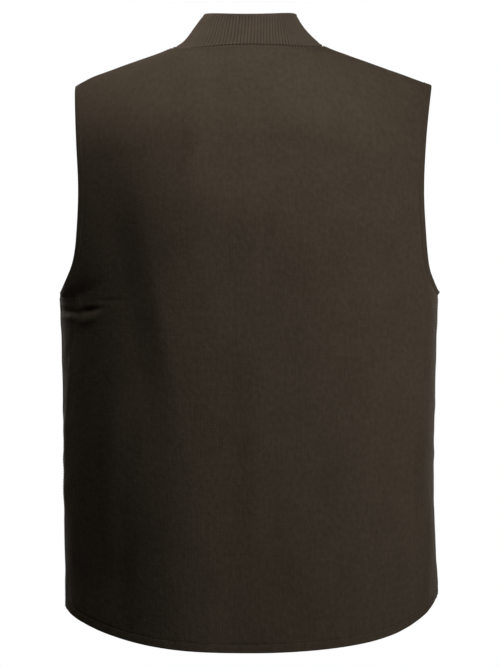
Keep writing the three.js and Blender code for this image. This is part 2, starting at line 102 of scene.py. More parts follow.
# Shoulders and neck
NECK_POINT = {"left": dict(x=0.092, z=0.0201), "right": dict(x=0.085, z=0.0226)}
NECK_ROUND = 0.020  # to each side of the neck point, where the ridge turns up into the neck
SHOULDER_SLOPE = 0.357
TIP_DROOP = {"left": 0.003, "right": 0.0}
TIP_ROUND = 0.024
RIDGE_AT_CENTRE = {"back": 0.045, "front": 0.006}
RUN_ON_SLOPE = 0.5
ROLL_HEIGHT = {"neck": 0.130, "tip": 0.096}
RIDGE_ANGLE = math.radians(77)
NECKLINE = {"back": 0.064, "front": 0.072}

# Collar
COLLAR_GAP = 0.0008
COLLAR_WALL = 0.0036
COLLAR_TOP = dict(half=0.054, back=-0.046, side=0.010, front=0.066)
COLLAR_TOP_HEIGHT = dict(back=0.0566, side=0.0617, front=0.008)
COLLAR_FALL = 1.5
COLLAR_EDGE_POINTS = 361
COLLAR_FLARE = {"left": dict(steady=0.95, late_share=0.25), "right": dict(steady=1.4, late_share=0.0)}
COLLAR_LATE_POWER = 9
COLLAR_TURN_POWER = 4  # how late the knit turns to face as the cloth at its seam does
COLLAR_ROWS = 24
COLLAR_END_ROWS = (0, 0.008, 0.022, 0.045, 0.08)
COLLAR_EDGE_ROUND = 0.47  # share of the wall
COLLAR_SIDES_FLAT = 0.6  # how much less the seam rolls in at the sides
# width of the painted shade along the neck seam, which the collar's edge attribute carries
COLLAR_SEAM_SHADE = 0.003
RIBS = 106
RIB_COLUMNS = 8
RIB_CROWDING = 0.2  # how much closer the ribs stand at the back than at the sides, along the seam
RIB_LEAN = 0.09  # how much wider apart they stand on the left than on the right
RIB = dict(relief=0.0010, sharpness=0.8, middle=0.6, at_ends=0.25, inside=0.4)
RIB_GROWTH = dict(seam=(0.001, 0.006), edge=(0.0012, 0.005))
EDGE_GROOVE = dict(at=0.0034, depth=0.0005, width=0.0009)
SEAM_GATHER = dict(at=0.0044, depth=0.0009, width=0.0012, ribs=1.6, seed=22)
SEAM_RIDGE = dict(at=0.0020, depth=0.0005, width=0.0012)
SWAY = dict(height=0.0007, waves=26, up=0.03, seed=21)

# Armhole bindings
BINDING = dict(lap=0.0036, width=0.006, proud=0.0003, lip=0.0005, crown=0.0002, girth=0.016, worn=0.0012)
BINDING_CROWN = (0.06, 0.94, 5)
BINDING_LIP_TURN = (0.4, 0.3)
BINDING_FOLD_STEPS = 9
BINDING_STITCH = dict(point=4, share=0.3)
BINDING_FLARE = {"left": math.radians(4), "right": math.radians(20)}
BINDING_AT_UNDERARM = {"left": 0.45, "right": 0.75}  # share of its width that is left there
BINDING_SUNK = {"left": 0.0010, "right": 0.0}  # how far it lies deeper there
BINDING_NEAR_UNDERARM = dict(flare=0.040, narrow=0.022, sink=0.014)
BINDING_RIPPLES = table("share period seed", (0.10, 0.008, 31), (0.05, 0.03, 32))

# Front zip
FRONT_OPENING = 0.0065
ZIP = dict(tape=0.013, wall=0.0012, clear=0.0007, chain=0.003, top=-0.0008, worn=0.002)
ZIP_ENDS = dict(above_hem=0.0008, below_edge=0.004)
ZIP_ROW = 0.003
ZIP_COLUMNS = 15
ZIP_COLLAR_ROWS = 25
ZIP_COLLAR_BEND = dict(depth=0.0016, start=0.08, end=0.005)
ZIP_BEHIND_HEM = (0.001, 0.004)  # above the hem's fold, where the tape comes forward again
ZIP_BEHIND_COLLAR = 0.02
TOOTH = dict(across=0.0034, along=0.0013, off_centre=0.0012, pitch=0.0028, round=0.0002)
TOOTH_NOSE = (1, 0.75, 0.7)
SLIDER = dict(
    width=0.009, height=0.012, depth=0.0046, below_end=0.009, slot=0.0012, sunk=0.0004, round=0.0004
)
SLOT_CUT = 1 / 6  # where the slot's edges lie, as a share of the slider's depth from its middle
POST = dict(half=0.0011, near=0.0016, far=0.0036, rise=0.0019, bar=0.0010)
PULL = dict(width=0.007, length=0.026, wall=0.0013, hang=0.0011, off=0.6, round=0.0003)
PULL_EYE = dict(half=0.0018, top=0.0014, tall=0.0040)
PULL_PANEL = dict(below_eye=0.003, above_foot=0.002, rim=0.0002, sunk=0.0003)
ZIP_TAPER = (0.7, 1, 1)
BEVEL_STEPS = 2
SHARP_ANGLE = math.radians(40)
TOLERANCE = 1e-5

# Stitches: bent bars of thread, whose rows are shares of the thread from end to end
STITCH = dict(length=0.0027, gap=0.0007, thread=0.00034, sides=6)
STITCH_BAR = table("thick rise", (0.55, -0.9), (0.95, 0.35), (1.0, 0.6), (0.95, 0.35), (0.55, -0.9))

# Folds of the cloth: a row for each, lifted along the cloth's normal, negative for a dent
FOLD_COLUMNS = "x z run across turn depth"
FOLDS = {
    "back": table(
        FOLD_COLUMNS,
        (-0.2115, -0.2875, 0.0090, 0.0030, -14, -0.0032),
        (-0.1885, -0.2865, 0.0120, 0.0028, 8, -0.0032),
        (-0.2010, -0.2790, 0.0160, 0.0024, 98, 0.0022),
        (-0.2110, -0.2955, 0.0100, 0.0042, -8, 0.0020),
        (-0.1900, -0.2975, 0.0120, 0.0050, 18, 0.0022),
        (-0.2150, -0.2735, 0.0070, 0.0022, -6, 0.0010),
        (-0.1630, -0.2755, 0.0180, 0.0030, 2, -0.0008),
        (-0.2120, -0.3300, 0.0140, 0.0030, 80, -0.0014),
        (-0.2130, -0.3560, 0.0120, 0.0030, 100, -0.0012),
        (-0.2140, -0.4350, 0.1200, 0.0025, 89, 0.0015),
        (-0.2130, -0.4200, 0.0120, 0.0050, 60, 0.0009),
        (-0.2130, -0.4900, 0.0160, 0.0050, 70, 0.0009),
        (-0.1880, -0.4300, 0.1200, 0.0110, 90, -0.0030),
        (-0.1600, -0.4500, 0.1700, 0.0160, 88, 0.0016),
        (-0.1500, -0.5600, 0.1000, 0.0550, 90, -0.0040),
        (0.0060, -0.4600, 0.1000, 0.0160, 90, 0.0012),
        (-0.0300, -0.1650, 0.1200, 0.0600, 0, 0.0065),
        (-0.0100, -0.0350, 0.1000, 0.0400, 0, -0.0055),
        (-0.0660, -0.0900, 0.0800, 0.0140, 86, 0.0012),
        (0.0000, -0.0760, 0.0500, 0.0080, 4, -0.0008),
        (0.0160, -0.2000, 0.0300, 0.0060, 80, -0.0006),
        (0.0600, -0.6900, 0.1600, 0.0450, 4, 0.0040),
        (0.1900, -0.5100, 0.0700, 0.0060, 90, -0.0018),
        (0.2070, -0.5600, 0.0900, 0.0070, 86, 0.0018),
    ),
    "front": table(
        FOLD_COLUMNS,
        (0.1500, -0.4300, 0.1700, 0.0220, 90, -0.0030),
        (-0.1500, -0.4400, 0.1700, 0.0220, 90, -0.0030),
    ),
}

# Steps in the cloth, which falls away on the left of each
STEPS = {
    "back": table(
        FOLD_COLUMNS,
        (-0.1260, -0.2600, 0.1300, 0.0220, 100, -0.0065),
        (-0.1380, -0.6000, 0.0450, 0.0100, 90, -0.0022),
    ),
    "front": [],
}

# Slight unevenness all over, and the distances from an edge within which folds and steps die away
RIPPLES = table("height across up seed", (0.0011, 0.075, 0.19, 3), (0.0004, 0.027, 0.060, 4))
HELD_FLAT = 0.001
FOLD_FADE = 0.012
STEP_FADE = 0.060
END_FADE = (0.002, 0.02)

# Sewn edges of a panel: how wide the lap is, how far it stands up, where its stitches pull it in
LAPS = named_table(
    "width raised stitches pull pucker period seed",
    ("hem", 0.0100, 0.0000, (0.0096,), 0.0008, 0.00040, 0.008, 11),
    ("side", 0.0085, 0.0006, (0.0020, 0.0075), 0.0003, 0.00060, 0.016, 12),
    ("armhole", 0.0030, 0.0000, (), 0.0, 0.00040, 0.010, 13),
    ("neck", 0.0066, 0.0008, (0.0058,), 0.0004, 0.00030, 0.006, 14),
    ("shoulder", 0.0062, 0.0005, (0.0052,), 0.0003, 0.00020, 0.009, 15),
    ("front", 0.0090, 0.0004, (0.0075,), 0.0003, 0.00030, 0.010, 16),
)
LAP_RISE = (0.0004, 0.0020)
LAP_END = (-0.0008, 0.0014)
FURROW = dict(width=0.0011, slack=0.4, period=0.045, seed=20)
PUCKER = dict(reach=0.003, run=0.02)

# Grid of the panels
COLUMNS = 98  # from the centre to the side
NECK_SHARE = 5 / 14
TINY = 1e-9
NECK_STRIP = 0.045  # shares to each side of the neck point whose normals are smoothed
NECK_STRIP_BELOW = 0.009
NECK_STRIP_LEVEL = 1.5
NECK_LAP_ENDS = (NECK_SHARE - 0.010, NECK_SHARE + 0.090)
ARM_LAP_STARTS = (0.99, 1.01)
EDGE_SHARES = (0.0006, 0.0022, 0.0050)
HEM_STEPS = (0, 3, 8, 15, 28, 50, 70, 80, 88, 96, 104, 112, 124)  # tenths of a millimetre, as the next
TOP_STEPS = (85, 72, 60, 50, 40, 30, 21, 14, 8, 3, 0)
STEP_UNIT = 0.0001
SIDE_ROWS = 112
ARM_ROWS = 42
ROLL_ROWS = 42
SIDE_CROWDING = 0.6  # how much closer the rows stand towards the underarm
ARM_CROWDING = 0.5
SHOULDER_ARC = 0.165  # length of the cloth's curve over the shoulder
SLOPE_STEP = 0.001
NOISE_KNOTS = 128


def lerp(a, b, share):
    return a + (b - a) * share


def smoothstep(value, low, high):
    share = np.clip((value - low) / (high - low), 0, 1)
    return share * share * (3 - 2 * share)


def hump(value):
    return np.exp(-np.square(value))


def step_up(value):
    return smoothstep(value, -1, 1)


def furrow(distance, shape):
    return shape["depth"] * hump((distance - shape["at"]) / shape["width"])


def unit(vectors):
    return vectors / np.linalg.norm(vectors, axis=-1, keepdims=True)


def soft_noise(across, up, seed):
    """Smooth noise from -1 to 1 with a knot at every whole number."""
    knots = np.random.default_rng(seed).uniform(-1, 1, (NOISE_KNOTS, NOISE_KNOTS))
    i, j = np.floor(across).astype(int), np.floor(up).astype(int)
    s, t = smoothstep(across - i, 0, 1), smoothstep(up - j, 0, 1)

    def knot(di, dj):
        return knots[(i + di) % NOISE_KNOTS, (j + dj) % NOISE_KNOTS]

    return lerp(lerp(knot(0, 0), knot(1, 0), s), lerp(knot(0, 1), knot(1, 1), s), t)


def section_at(sections, column, z):
    """One column of a table of sections, read at heights z by a smooth cubic between the rows."""
    heights = np.array([row["z"] for row in sections])
    values = np.array([row[column] for row in sections])
    last = len(sections) - 1
    before = np.r_[0, np.arange(last)]
    after = np.r_[np.arange(1, last + 1), last]
    slopes = (values[after] - values[before]) / (heights[after] - heights[before])
    z = np.clip(z, heights[0], heights[-1])
    i = np.clip(np.searchsorted(heights, z) - 1, 0, last - 1)
    span = heights[i + 1] - heights[i]
    t = (z - heights[i]) / span
    start = values[i] * (1 + 2 * t) * (1 - t) ** 2 + slopes[i] * span * t * (1 - t) ** 2
    end = values[i + 1] * t * t * (3 - 2 * t) + slopes[i + 1] * span * t * t * (t - 1)
    return start + end


def read_at(places, marks, values):
    """Rows of values that belong to rising marks, read at other places."""
    return np.stack([np.interp(places, marks, part) for part in values.T], -1)


def by_side(x, measure):
    """A measure of the left or the right side, whichever x is on."""
    return np.where(x < 0, measure("left"), measure("right"))


def shoulder_tip(side):
    return section_at(ARMHOLE, side, 0.0)


def neck_point(x):
    """Distance from the centre and height of the neck point on the side that x is on."""
    return tuple(by_side(x, lambda side: NECK_POINT[side][part]) for part in ("x", "z"))


def body_depth(face, x, z):
    share = np.minimum(np.abs(x) / by_side(x, lambda side: section_at(BODY, side, z)), 1)
    return section_at(BODY, face, z) * (1 - share**SQUARENESS) ** (1 / SQUARENESS)


def hem_height(face, x, share):
    def rise(side):
        return sum(term["share"] * share ** term["power"] for term in HEM_RISE[side])

    return lerp(HEM_AT_CENTRE[face], by_side(x, HEM_AT_SIDE.get), by_side(x, rise))


def neck_depth(face, x):
    share = np.minimum(np.abs(x) / neck_point(x)[0], 1)
    return NECKLINE[face] * np.sqrt(1 - share**2)


def ridge_height(face, x):
    """Height of the shoulder ridge, run on smoothly to the centre plane inside the neck."""
    width, height = neck_point(x)
    beyond = np.abs(x) - width
    droop = np.maximum(1 - (by_side(x, shoulder_tip) - np.abs(x)) / TIP_ROUND, 0)
    outside = height - SHOULDER_SLOPE * beyond - by_side(x, TIP_DROOP.get) * droop**2
    t = np.minimum(np.abs(x) / width, 1)
    run_on = RUN_ON_SLOPE * width * t * t * (1 - t)
    inside = lerp(RIDGE_AT_CENTRE[face], height, smoothstep(t, 0, 1)) + run_on
    near = np.maximum(NECK_ROUND - np.abs(beyond), 0)
    rounding = (RUN_ON_SLOPE - SHOULDER_SLOPE) * near**2 / (4 * NECK_ROUND)
    return np.where(beyond >= 0, outside, inside) + rounding


def edge_half_width(face, side, level):
    """Half-width of a panel at its side seam or armhole."""
    seam = section_at(BODY, side, lerp(HEM_AT_SIDE[side], UNDERARM, np.minimum(level, 1)))
    tip = shoulder_tip(side)
    top = NECK_POINT[side]["z"] - SHOULDER_SLOPE * (tip - NECK_POINT[side]["x"]) - TIP_DROOP[side]
    turned = np.sin(RIDGE_ANGLE * np.maximum(level - 2, 0)) / math.sin(RIDGE_ANGLE)
    upright = lerp(UNDERARM, top - ROLL_HEIGHT["tip"], level - 1)
    z = np.where(level <= 2, upright, top - ROLL_HEIGHT["tip"] * (1 - turned))
    up = np.clip((z - UNDERARM) / (top - UNDERARM), 0, 1)
    cut = FRONT_ARMHOLE_CUT * np.sin(np.pi * up) if face == "front" else 0
    return np.where(level <= 1, seam, section_at(ARMHOLE, side, z) - cut)


def body_points(face, x, level):
    """Places on the smooth body. level is 0 at the hem, 1 at the underarm, 2 where the shoulder's curve
    starts and 3 at the shoulder seam or neckline."""
    outward = np.minimum(np.abs(x) / by_side(x, shoulder_tip), 1)
    height = lerp(ROLL_HEIGHT["neck"], ROLL_HEIGHT["tip"], outward**2)
    ridge = ridge_height(face, x)
    start = ridge - height
    roll_depth = body_depth(face, x, start)
    flat = math.cos(RIDGE_ANGLE)
    opened = neck_depth(face, x) / np.maximum(roll_depth, TINY)
    top_angle = np.arccos(np.clip(flat + opened * (1 - flat), flat, 1))
    share = np.minimum(np.abs(x) / by_side(x, lambda side: edge_half_width(face, side, level)), 1)
    below = lerp(hem_height(face, x, share), UNDERARM, level)
    z = np.where(level <= 1, below, lerp(UNDERARM, start, level - 1))
    depth = np.where(z < start, body_depth(face, x, z), roll_depth)
    angle = top_angle * np.maximum(level - 2, 0)
    z = np.where(level <= 2, z, ridge - height * (1 - np.sin(angle) / math.sin(RIDGE_ANGLE)))
    depth = np.where(level <= 2, depth, roll_depth * (np.cos(angle) - flat) / (1 - flat))
    y = (depth + SEAM_GAP / 2) * (-1 if face == "back" else 1)
    return np.stack([x, y, z], -1)


def grid_lines(face, side, shares, levels):
    """Distances of a panel's grid lines from the centre, for each level and each share of the way out."""
    inner = FRONT_OPENING if face == "front" else 0.0
    edge = edge_half_width(face, side, levels)[:, None]
    tip = edge_half_width(face, side, np.array([3.0]))[0]
    neck = NECK_POINT[side]["x"]
    first = math.asin(inner / neck)
    in_neck = neck * np.sin(lerp(first, np.pi / 2, np.minimum(shares / NECK_SHARE, 1)))
    on_shoulder = lerp(neck, tip, (shares - NECK_SHARE) / (1 - NECK_SHARE))
    high = (np.where(shares <= NECK_SHARE, in_neck, on_shoulder) - inner) / (tip - inner)
    low = np.sin(shares * np.pi / 2)
    return inner + (edge - inner) * lerp(low, high, smoothstep(levels, 1, 3)[:, None])


def row_levels():
    hem = np.array(HEM_STEPS) * STEP_UNIT / (UNDERARM - HEM_AT_SIDE["left"])
    t = np.linspace(0, 1, SIDE_ROWS + 1)[1:]
    body = lerp(hem[-1], 1, lerp(t, 1 - (1 - t) ** 2, SIDE_CROWDING))
    t = np.linspace(0, 1, ARM_ROWS + 1)[1:]
    arm = 1 + lerp(t, t**2, ARM_CROWDING)
    top = 3 - np.array(TOP_STEPS) * STEP_UNIT / SHOULDER_ARC
    roll = np.linspace(2, top[0], ROLL_ROWS + 1)[1:-1]
    return np.concatenate([hem, body, arm, roll, top])


def column_shares():
    even = np.arange(COLUMNS + 1) / COLUMNS
    return np.sort(np.concatenate([even, 1 - np.array(EDGE_SHARES)]))


def grid_normals(points):
    return unit(np.cross(np.gradient(points, axis=1), np.gradient(points, axis=0)))


def run_along(points, axis):
    """Length of the cloth from the grid's first row or column."""
    steps = np.linalg.norm(np.diff(points, axis=axis), axis=-1)
    start = np.zeros_like(np.take(steps, [0], axis=axis))
    return np.concatenate([start, np.cumsum(steps, axis=axis)], axis=axis)


def tuck(distance, radius):
    """How far a rounded edge has rolled in at a distance from it."""
    return radius * (1 - np.sqrt(1 - np.clip(1 - distance / radius, 0, 1) ** 2))


class Panel:
    """A canvas panel as grids of outer and inner points, in rows from the hem up."""

    def __init__(self, face, side=None):
        self.face = face
        self.levels = row_levels()
        shares = column_shares()
        halves = {name: grid_lines(face, name, shares, self.levels) for name in ("left", "right")}
        if face == "back":
            x = np.concatenate([-halves["left"][:, :0:-1], halves["right"]], axis=1)
            self.shares = np.concatenate([-shares[:0:-1], shares])
        elif side == "left":
            x = -halves["left"]
            self.shares = -shares
        else:
            x = halves["right"][:, ::-1]
            self.shares = shares[::-1]
        self.smooth = body_points(face, x, np.broadcast_to(self.levels[:, None], x.shape))
        self.normals = self.seam_normals(grid_normals(self.smooth))
        self.measure_edges(side)
        self.shape_cloth()

    def seam_normals(self, normals):
        """Normals that a neighbouring panel shares along the side and shoulder seams."""
        side_seam = (np.abs(self.shares) == 1)[None, :] & (self.levels <= 1)[:, None]
        normals[side_seam, 1] = 0
        on_shoulder = np.abs(self.shares) >= NECK_SHARE - TINY
        self.sewn = side_seam | ((self.levels == 3)[:, None] & on_shoulder[None, :])
        x = self.smooth[-1, on_shoulder, 0]
        step = np.sign(x) * SLOPE_STEP
        fall = ridge_height("back", x) - ridge_height("back", x + step)
        normals[-1, on_shoulder] = np.stack([np.sign(x) * fall, 0 * x, np.abs(step)], -1)
        return unit(normals)

    def measure_edges(self, side):
        up = run_along(self.smooth, 0)
        across = run_along(self.smooth, 1)
        first, last = across, across[:, -1:] - across
        self.from_hem = up
        self.from_top = up[-1] - up
        self.from_front = np.full_like(up, 1.0)
        if self.face == "back":
            self.from_side = np.minimum(first, last)
        elif side == "left":
            self.from_side, self.from_front = last, first
        else:
            self.from_side, self.from_front = first, last
        middle = np.argmin(np.abs(self.shares))
        self.girth = across - across[:, middle : middle + 1]
        self.height = np.broadcast_to(up[:, middle : middle + 1], up.shape)
        self.beside_arm = smoothstep(self.levels, *ARM_LAP_STARTS)[:, None] * np.ones_like(up)
        beside_neck = smoothstep(np.abs(self.shares), *NECK_LAP_ENDS)
        self.below_neck = (1 - beside_neck)[None, :] * np.ones_like(up)

    def fold_lift(self):
        """How far folds, steps and ripples lift the cloth, all free of the sewn edges."""
        x, z = self.smooth[..., 0], self.smooth[..., 2]
        lift = 0
        for ripple in RIPPLES:
            noise = soft_noise(self.girth / ripple["across"], z / ripple["up"], ripple["seed"])
            lift = lift + ripple["height"] * noise * smoothstep(self.from_side, HELD_FLAT, FOLD_FADE)
        for rows, profile, fade in ((FOLDS, hump, FOLD_FADE), (STEPS, step_up, STEP_FADE)):
            free = smoothstep(self.from_side, HELD_FLAT, fade)
            for fold in rows[self.face]:
                cos, sin = math.cos(math.radians(fold["turn"])), math.sin(math.radians(fold["turn"]))
                dx, dz = x - fold["x"], z - fold["z"]
                along = (dx * cos + dz * sin) / fold["run"]
                across = (dz * cos - dx * sin) / fold["across"]
                lift = lift + fold["depth"] * hump(along) * profile(across) * free
        return lift * smoothstep(self.from_top, *END_FADE) * smoothstep(self.from_front, *END_FADE)

    def lap_lift(self, edge, distance, along):
        """A sewn lap: raised cloth, furrows where the stitches pull, and puckers round them."""
        lap = LAPS[edge]
        start, end = (lap["width"] + reach for reach in LAP_END)
        lift = lap["raised"] * smoothstep(distance, *LAP_RISE) * (1 - smoothstep(distance, start, end))
        noise = soft_noise(along / FURROW["period"], 0 * along, lap["seed"] + FURROW["seed"])
        tightness = 1 - FURROW["slack"] + FURROW["slack"] * noise
        for stitch in lap["stitches"]:
            lift = lift - lap["pull"] * tightness * hump((distance - stitch) / FURROW["width"])
        gather = soft_noise(along / lap["period"], distance / PUCKER["run"], lap["seed"])
        from_end = (distance - lap["width"]) / (lap["width"] + PUCKER["reach"])
        return lift + lap["pucker"] * gather * hump(from_end)

    def shape_cloth(self):
        lift = self.fold_lift()
        lift += self.lap_lift("hem", self.from_hem, self.girth)
        lift += self.lap_lift("side", self.from_side, self.height) * (1 - self.beside_arm)
        lift += self.lap_lift("armhole", self.from_side, self.height) * self.beside_arm
        lift += self.lap_lift("neck", self.from_top, self.girth) * self.below_neck
        lift += self.lap_lift("shoulder", self.from_top, self.girth) * (1 - self.below_neck)
        if self.face == "front":
            lift += self.lap_lift("front", self.from_front, self.height)
        from_seam = np.minimum(self.from_side + self.beside_arm, self.from_front)
        rolled = tuck(np.minimum(self.from_hem, from_seam), SEAM_ROUND)
        at_top = tuck(self.from_top, lerp(SEAM_ROUND, NECK_SEAM_ROUND, self.below_neck))
        rolled = np.maximum(rolled, at_top)
        above_fold = smoothstep(self.from_hem, HEM_FOLD, HEM_FOLD + HEM_FOLD_END)
        wall = CANVAS_WALL + HEM_EXTRA * (1 - above_fold)
        self.edge = hump(np.minimum(from_seam, np.minimum(self.from_hem, self.from_top)) / WORN_EDGE)
        self.outer = self.smooth + self.normals * (lift - rolled)[..., None]
        rolled = np.minimum(rolled, wall - rolled - THINNEST_EDGE)
        self.inner = self.smooth + self.normals * (lift - wall + rolled)[..., None]
        self.inner[self.sewn, 1] = SEAM_ALLOWANCE if self.face == "back" else -SEAM_ALLOWANCE

    def neck_normals(self):
        """Normals of the outside near the neck points, where the grid is too skewed to give them, read from
        the columns beside them at the same heights. Elsewhere they are zero."""
        normals = grid_normals(self.outer)
        heights = np.maximum.accumulate(self.outer[..., 2], axis=0)
        wanted = np.zeros_like(normals)
        for sign in (-1, 1):
            skewed = np.flatnonzero(np.abs(self.shares - sign * NECK_SHARE) < NECK_STRIP)
            if len(skewed) == 0:
                continue
            ends = skewed[0] - 1, skewed[-1] + 1
            ceiling = min(heights[np.argmax(self.from_top[:, end] < NECK_STRIP_BELOW), end] for end in ends)
            for column in skewed:
                x, z = self.outer[:, column, 0], self.outer[:, column, 2]
                beside = [read_at(z, heights[:, end], normals[:, end]) for end in ends]
                first, last = (np.interp(z, heights[:, end], self.outer[:, end, 0]) for end in ends)
                mixed = unit(lerp(*beside, ((x - first) / (last - first))[:, None]))
                rows = (self.levels > NECK_STRIP_LEVEL) & (z < ceiling)
                wanted[rows, column] = mixed[rows]
        return wanted

    def inset_line(self, axis, from_end, distance):
        """Points and normals of the line at a distance from an edge, along the finished surface."""
        turned = np.moveaxis(self.outer, axis, 0)
        normals = np.moveaxis(grid_normals(self.outer), axis, 0)
        if from_end:
            turned, normals = turned[::-1], normals[::-1]
        run = run_along(turned, 0)
        after = np.clip((run < distance).sum(0), 1, len(run) - 1)
        pick = np.arange(run.shape[1])
        share = (distance - run[after - 1, pick]) / (run[after, pick] - run[after - 1, pick])
        point = lerp(turned[after - 1, pick], turned[after, pick], share[:, None])
        return point, unit(lerp(normals[after - 1, pick], normals[after, pick], share[:, None]))


def new_piece(name, points, faces, finish, cloth=None, edge=None, normals=None, smooth=True):
    """An object from points and lists of faces, with its cloth coordinates, an edge attribute (edge wear on
    most pieces, painted shade along the collar's neck seam) and set normals.
    """
    mesh = bpy.data.meshes.new(name)
    mesh.from_pydata(points.tolist(), [], faces)
    mesh.polygons.foreach_set("use_smooth", np.full(len(mesh.polygons), smooth))
    if cloth is not None:
        corner = np.empty(len(mesh.loops), np.int32)
        mesh.loops.foreach_get("vertex_index", corner)
        mesh.uv_layers.new(name="cloth").data.foreach_set("uv", cloth[corner].astype(np.float32).ravel())
    if edge is not None:
        mesh.attributes.new("edge", "FLOAT", "POINT").data.foreach_set("value", edge.astype(np.float32))
    mesh.materials.append(finish)
    mesh.update()
    if normals is not None:
        mesh.normals_split_custom_set_from_vertices(normals)
    piece = bpy.data.objects.new(name, mesh)
    bpy.context.scene.collection.objects.link(piece)
    return piece


def wall_faces(rows, columns):
    """Quads of a wall between an outer and an inner grid, with the rim all round."""
    layer = rows * columns
    index = np.arange(layer).reshape(rows, columns)
    a, b, c, d = index[:-1, :-1], index[:-1, 1:], index[1:, 1:], index[1:, :-1]
    outside = np.stack([a, b, c, d], -1).reshape(-1, 4)
    inside = np.stack([a, d, c, b], -1).reshape(-1, 4) + layer
    border = np.concatenate([index[0], index[1:, -1], index[-1, -2::-1], index[-2:0:-1, 0]])
    after = np.roll(border, -1)
    rim = np.stack([after, border, border + layer, after + layer], -1)
    return np.concatenate([outside, inside, rim]).tolist()


def wall_piece(name, outer, inner, cloth, edge, finish, normals=None):
    points = np.concatenate([outer.reshape(-1, 3), inner.reshape(-1, 3)])
    flat = np.concatenate([cloth.reshape(-1, 2)] * 2)
    wear_and_seam_shade = np.concatenate([edge.ravel()] * 2)
    return new_piece(name, points, wall_faces(*outer.shape[:2]), finish, flat, wear_and_seam_shade, normals)


def panel_piece(name, panel, finish):
    cloth = np.stack([panel.girth, panel.height], -1)
    outside = panel.neck_normals().reshape(-1, 3)
    normals = np.concatenate([outside, 0 * outside])
    return wall_piece(name, panel.outer, panel.inner, cloth, panel.edge, finish, normals)


def places_along(line, shares):
    """The places, counted in the line's own points, at shares of a line's length."""
    run = run_along(line, 0)
    return np.interp(shares * run[-1], run, np.arange(len(line)))


def points_at(line, places):
    low = np.clip(places.astype(int), 0, len(line) - 2)
    return lerp(line[low], line[low + 1], (places - low)[:, None])


def collar_top_edge():
    first = math.asin(FRONT_OPENING / COLLAR_TOP["half"])
    turn = np.linspace(first, 2 * np.pi - first, COLLAR_EDGE_POINTS)
    ahead, behind = np.maximum(np.cos(turn), 0), np.maximum(-np.cos(turn), 0)

    def around(level, ahead, behind):
        side = level["side"]
        return side + (level["front"] - side) * ahead + (level["back"] - side) * behind

    y = around(COLLAR_TOP, ahead, behind)
    z = around(COLLAR_TOP_HEIGHT, ahead**COLLAR_FALL, behind**2)
    return np.stack([-COLLAR_TOP["half"] * np.sin(turn), y, z], -1)


def collar_flare(down, lean):
    """Share of the way out to the seam at a share of the way down, for a lean from -1, left, to 1, right."""
    left, right = COLLAR_FLARE["left"], COLLAR_FLARE["right"]
    steady, late = (lerp(left[part], right[part], (1 + lean) / 2) for part in ("steady", "late_share"))
    return lerp(down**steady, down**COLLAR_LATE_POWER, late)


def rib_shift(even):
    return RIB_LEAN * (1 - np.cos(2 * np.pi * even)) / (2 * np.pi)


def neck_seam(panels, even):
    """Points of the neckline's ring at the ribs' places, and the way out of the cloth there."""
    inside = [np.abs(panel.shares) <= NECK_SHARE + TINY for panel in panels]
    ring = np.concatenate([panel.smooth[-1, part] for panel, part in zip(panels, inside)])
    facing = np.concatenate([panel.normals[-1, part] for panel, part in zip(panels, inside)])
    crowded = even - RIB_CROWDING * np.sin(4 * np.pi * even) / (4 * np.pi)
    places = places_along(ring, crowded + rib_shift(even))
    return points_at(ring, places), unit(points_at(facing, places))


def collar_relief(even, from_seam, from_edge):
    """Height of the knit over its smooth form: ribs, a groove below the edge, and gathers at the seam."""
    grown = smoothstep(from_seam, *RIB_GROWTH["seam"]) * smoothstep(from_edge, *RIB_GROWTH["edge"])
    rib = np.abs(np.cos(np.pi * RIBS * even)) ** RIB["sharpness"]
    relief = RIB["relief"] * (rib - RIB["middle"]) * lerp(RIB["at_ends"], 1, grown)
    level = 0 * from_seam
    gathers = 0.5 + 0.5 * soft_noise(RIBS * even / SEAM_GATHER["ribs"] + level, level, SEAM_GATHER["seed"])
    sway = SWAY["height"] * soft_noise(SWAY["waves"] * even + level, from_seam / SWAY["up"], SWAY["seed"])
    relief = relief - furrow(from_edge, EDGE_GROOVE) - gathers * furrow(from_seam, SEAM_GATHER)
    return relief + furrow(from_seam, SEAM_RIDGE) + sway * grown


def rib_collar(panels, finish):
    """The knitted collar: ribs that run from the neckline seam up to a rolled free edge."""
    even = np.linspace(0, 1, RIBS * RIB_COLUMNS + 1)
    seam, out = neck_seam(panels, even)
    base = seam + unit(np.cross(out, np.gradient(seam, axis=0))) * COLLAR_GAP
    edge = collar_top_edge()
    top = points_at(edge, places_along(edge, even + rib_shift(even)))
    ends = np.array(COLLAR_END_ROWS)
    middle = np.linspace(ends[-1], 1 - ends[-1], COLLAR_ROWS - 2 * len(ends) + 2)[1:-1]
    down = 1 - np.concatenate([ends, middle, 1 - ends[::-1]])
    lean = top[:, 0] / COLLAR_TOP["half"]
    smooth = lerp(top, base, collar_flare(down[:, None], lean)[..., None])
    smooth[..., 2] = lerp(top[:, 2], base[:, 2], down[:, None])
    normals = unit(lerp(grid_normals(smooth), out, (down**COLLAR_TURN_POWER)[:, None, None]))
    from_seam = run_along(smooth, 0)
    from_edge = from_seam[-1] - from_seam
    relief = collar_relief(even, from_seam, from_edge)
    at_seam = NECK_SEAM_ROUND * (1 - COLLAR_SIDES_FLAT * lean**2)
    rolled = np.maximum(tuck(from_edge, COLLAR_WALL * COLLAR_EDGE_ROUND), tuck(from_seam, at_seam))
    outer = smooth + normals * (relief - rolled)[..., None]
    inner = smooth + normals * (rolled - COLLAR_WALL - RIB["inside"] * relief)[..., None]
    cloth = np.stack([np.broadcast_to(RIBS * even, from_seam.shape), from_seam], -1)
    # The collar's edge attribute is painted shade: highest at the neck seam, fading within COLLAR_SEAM_SHADE
    # of it
    return wall_piece("rib_collar_knit", outer, inner, cloth, hump(from_seam / COLLAR_SEAM_SHADE), finish)


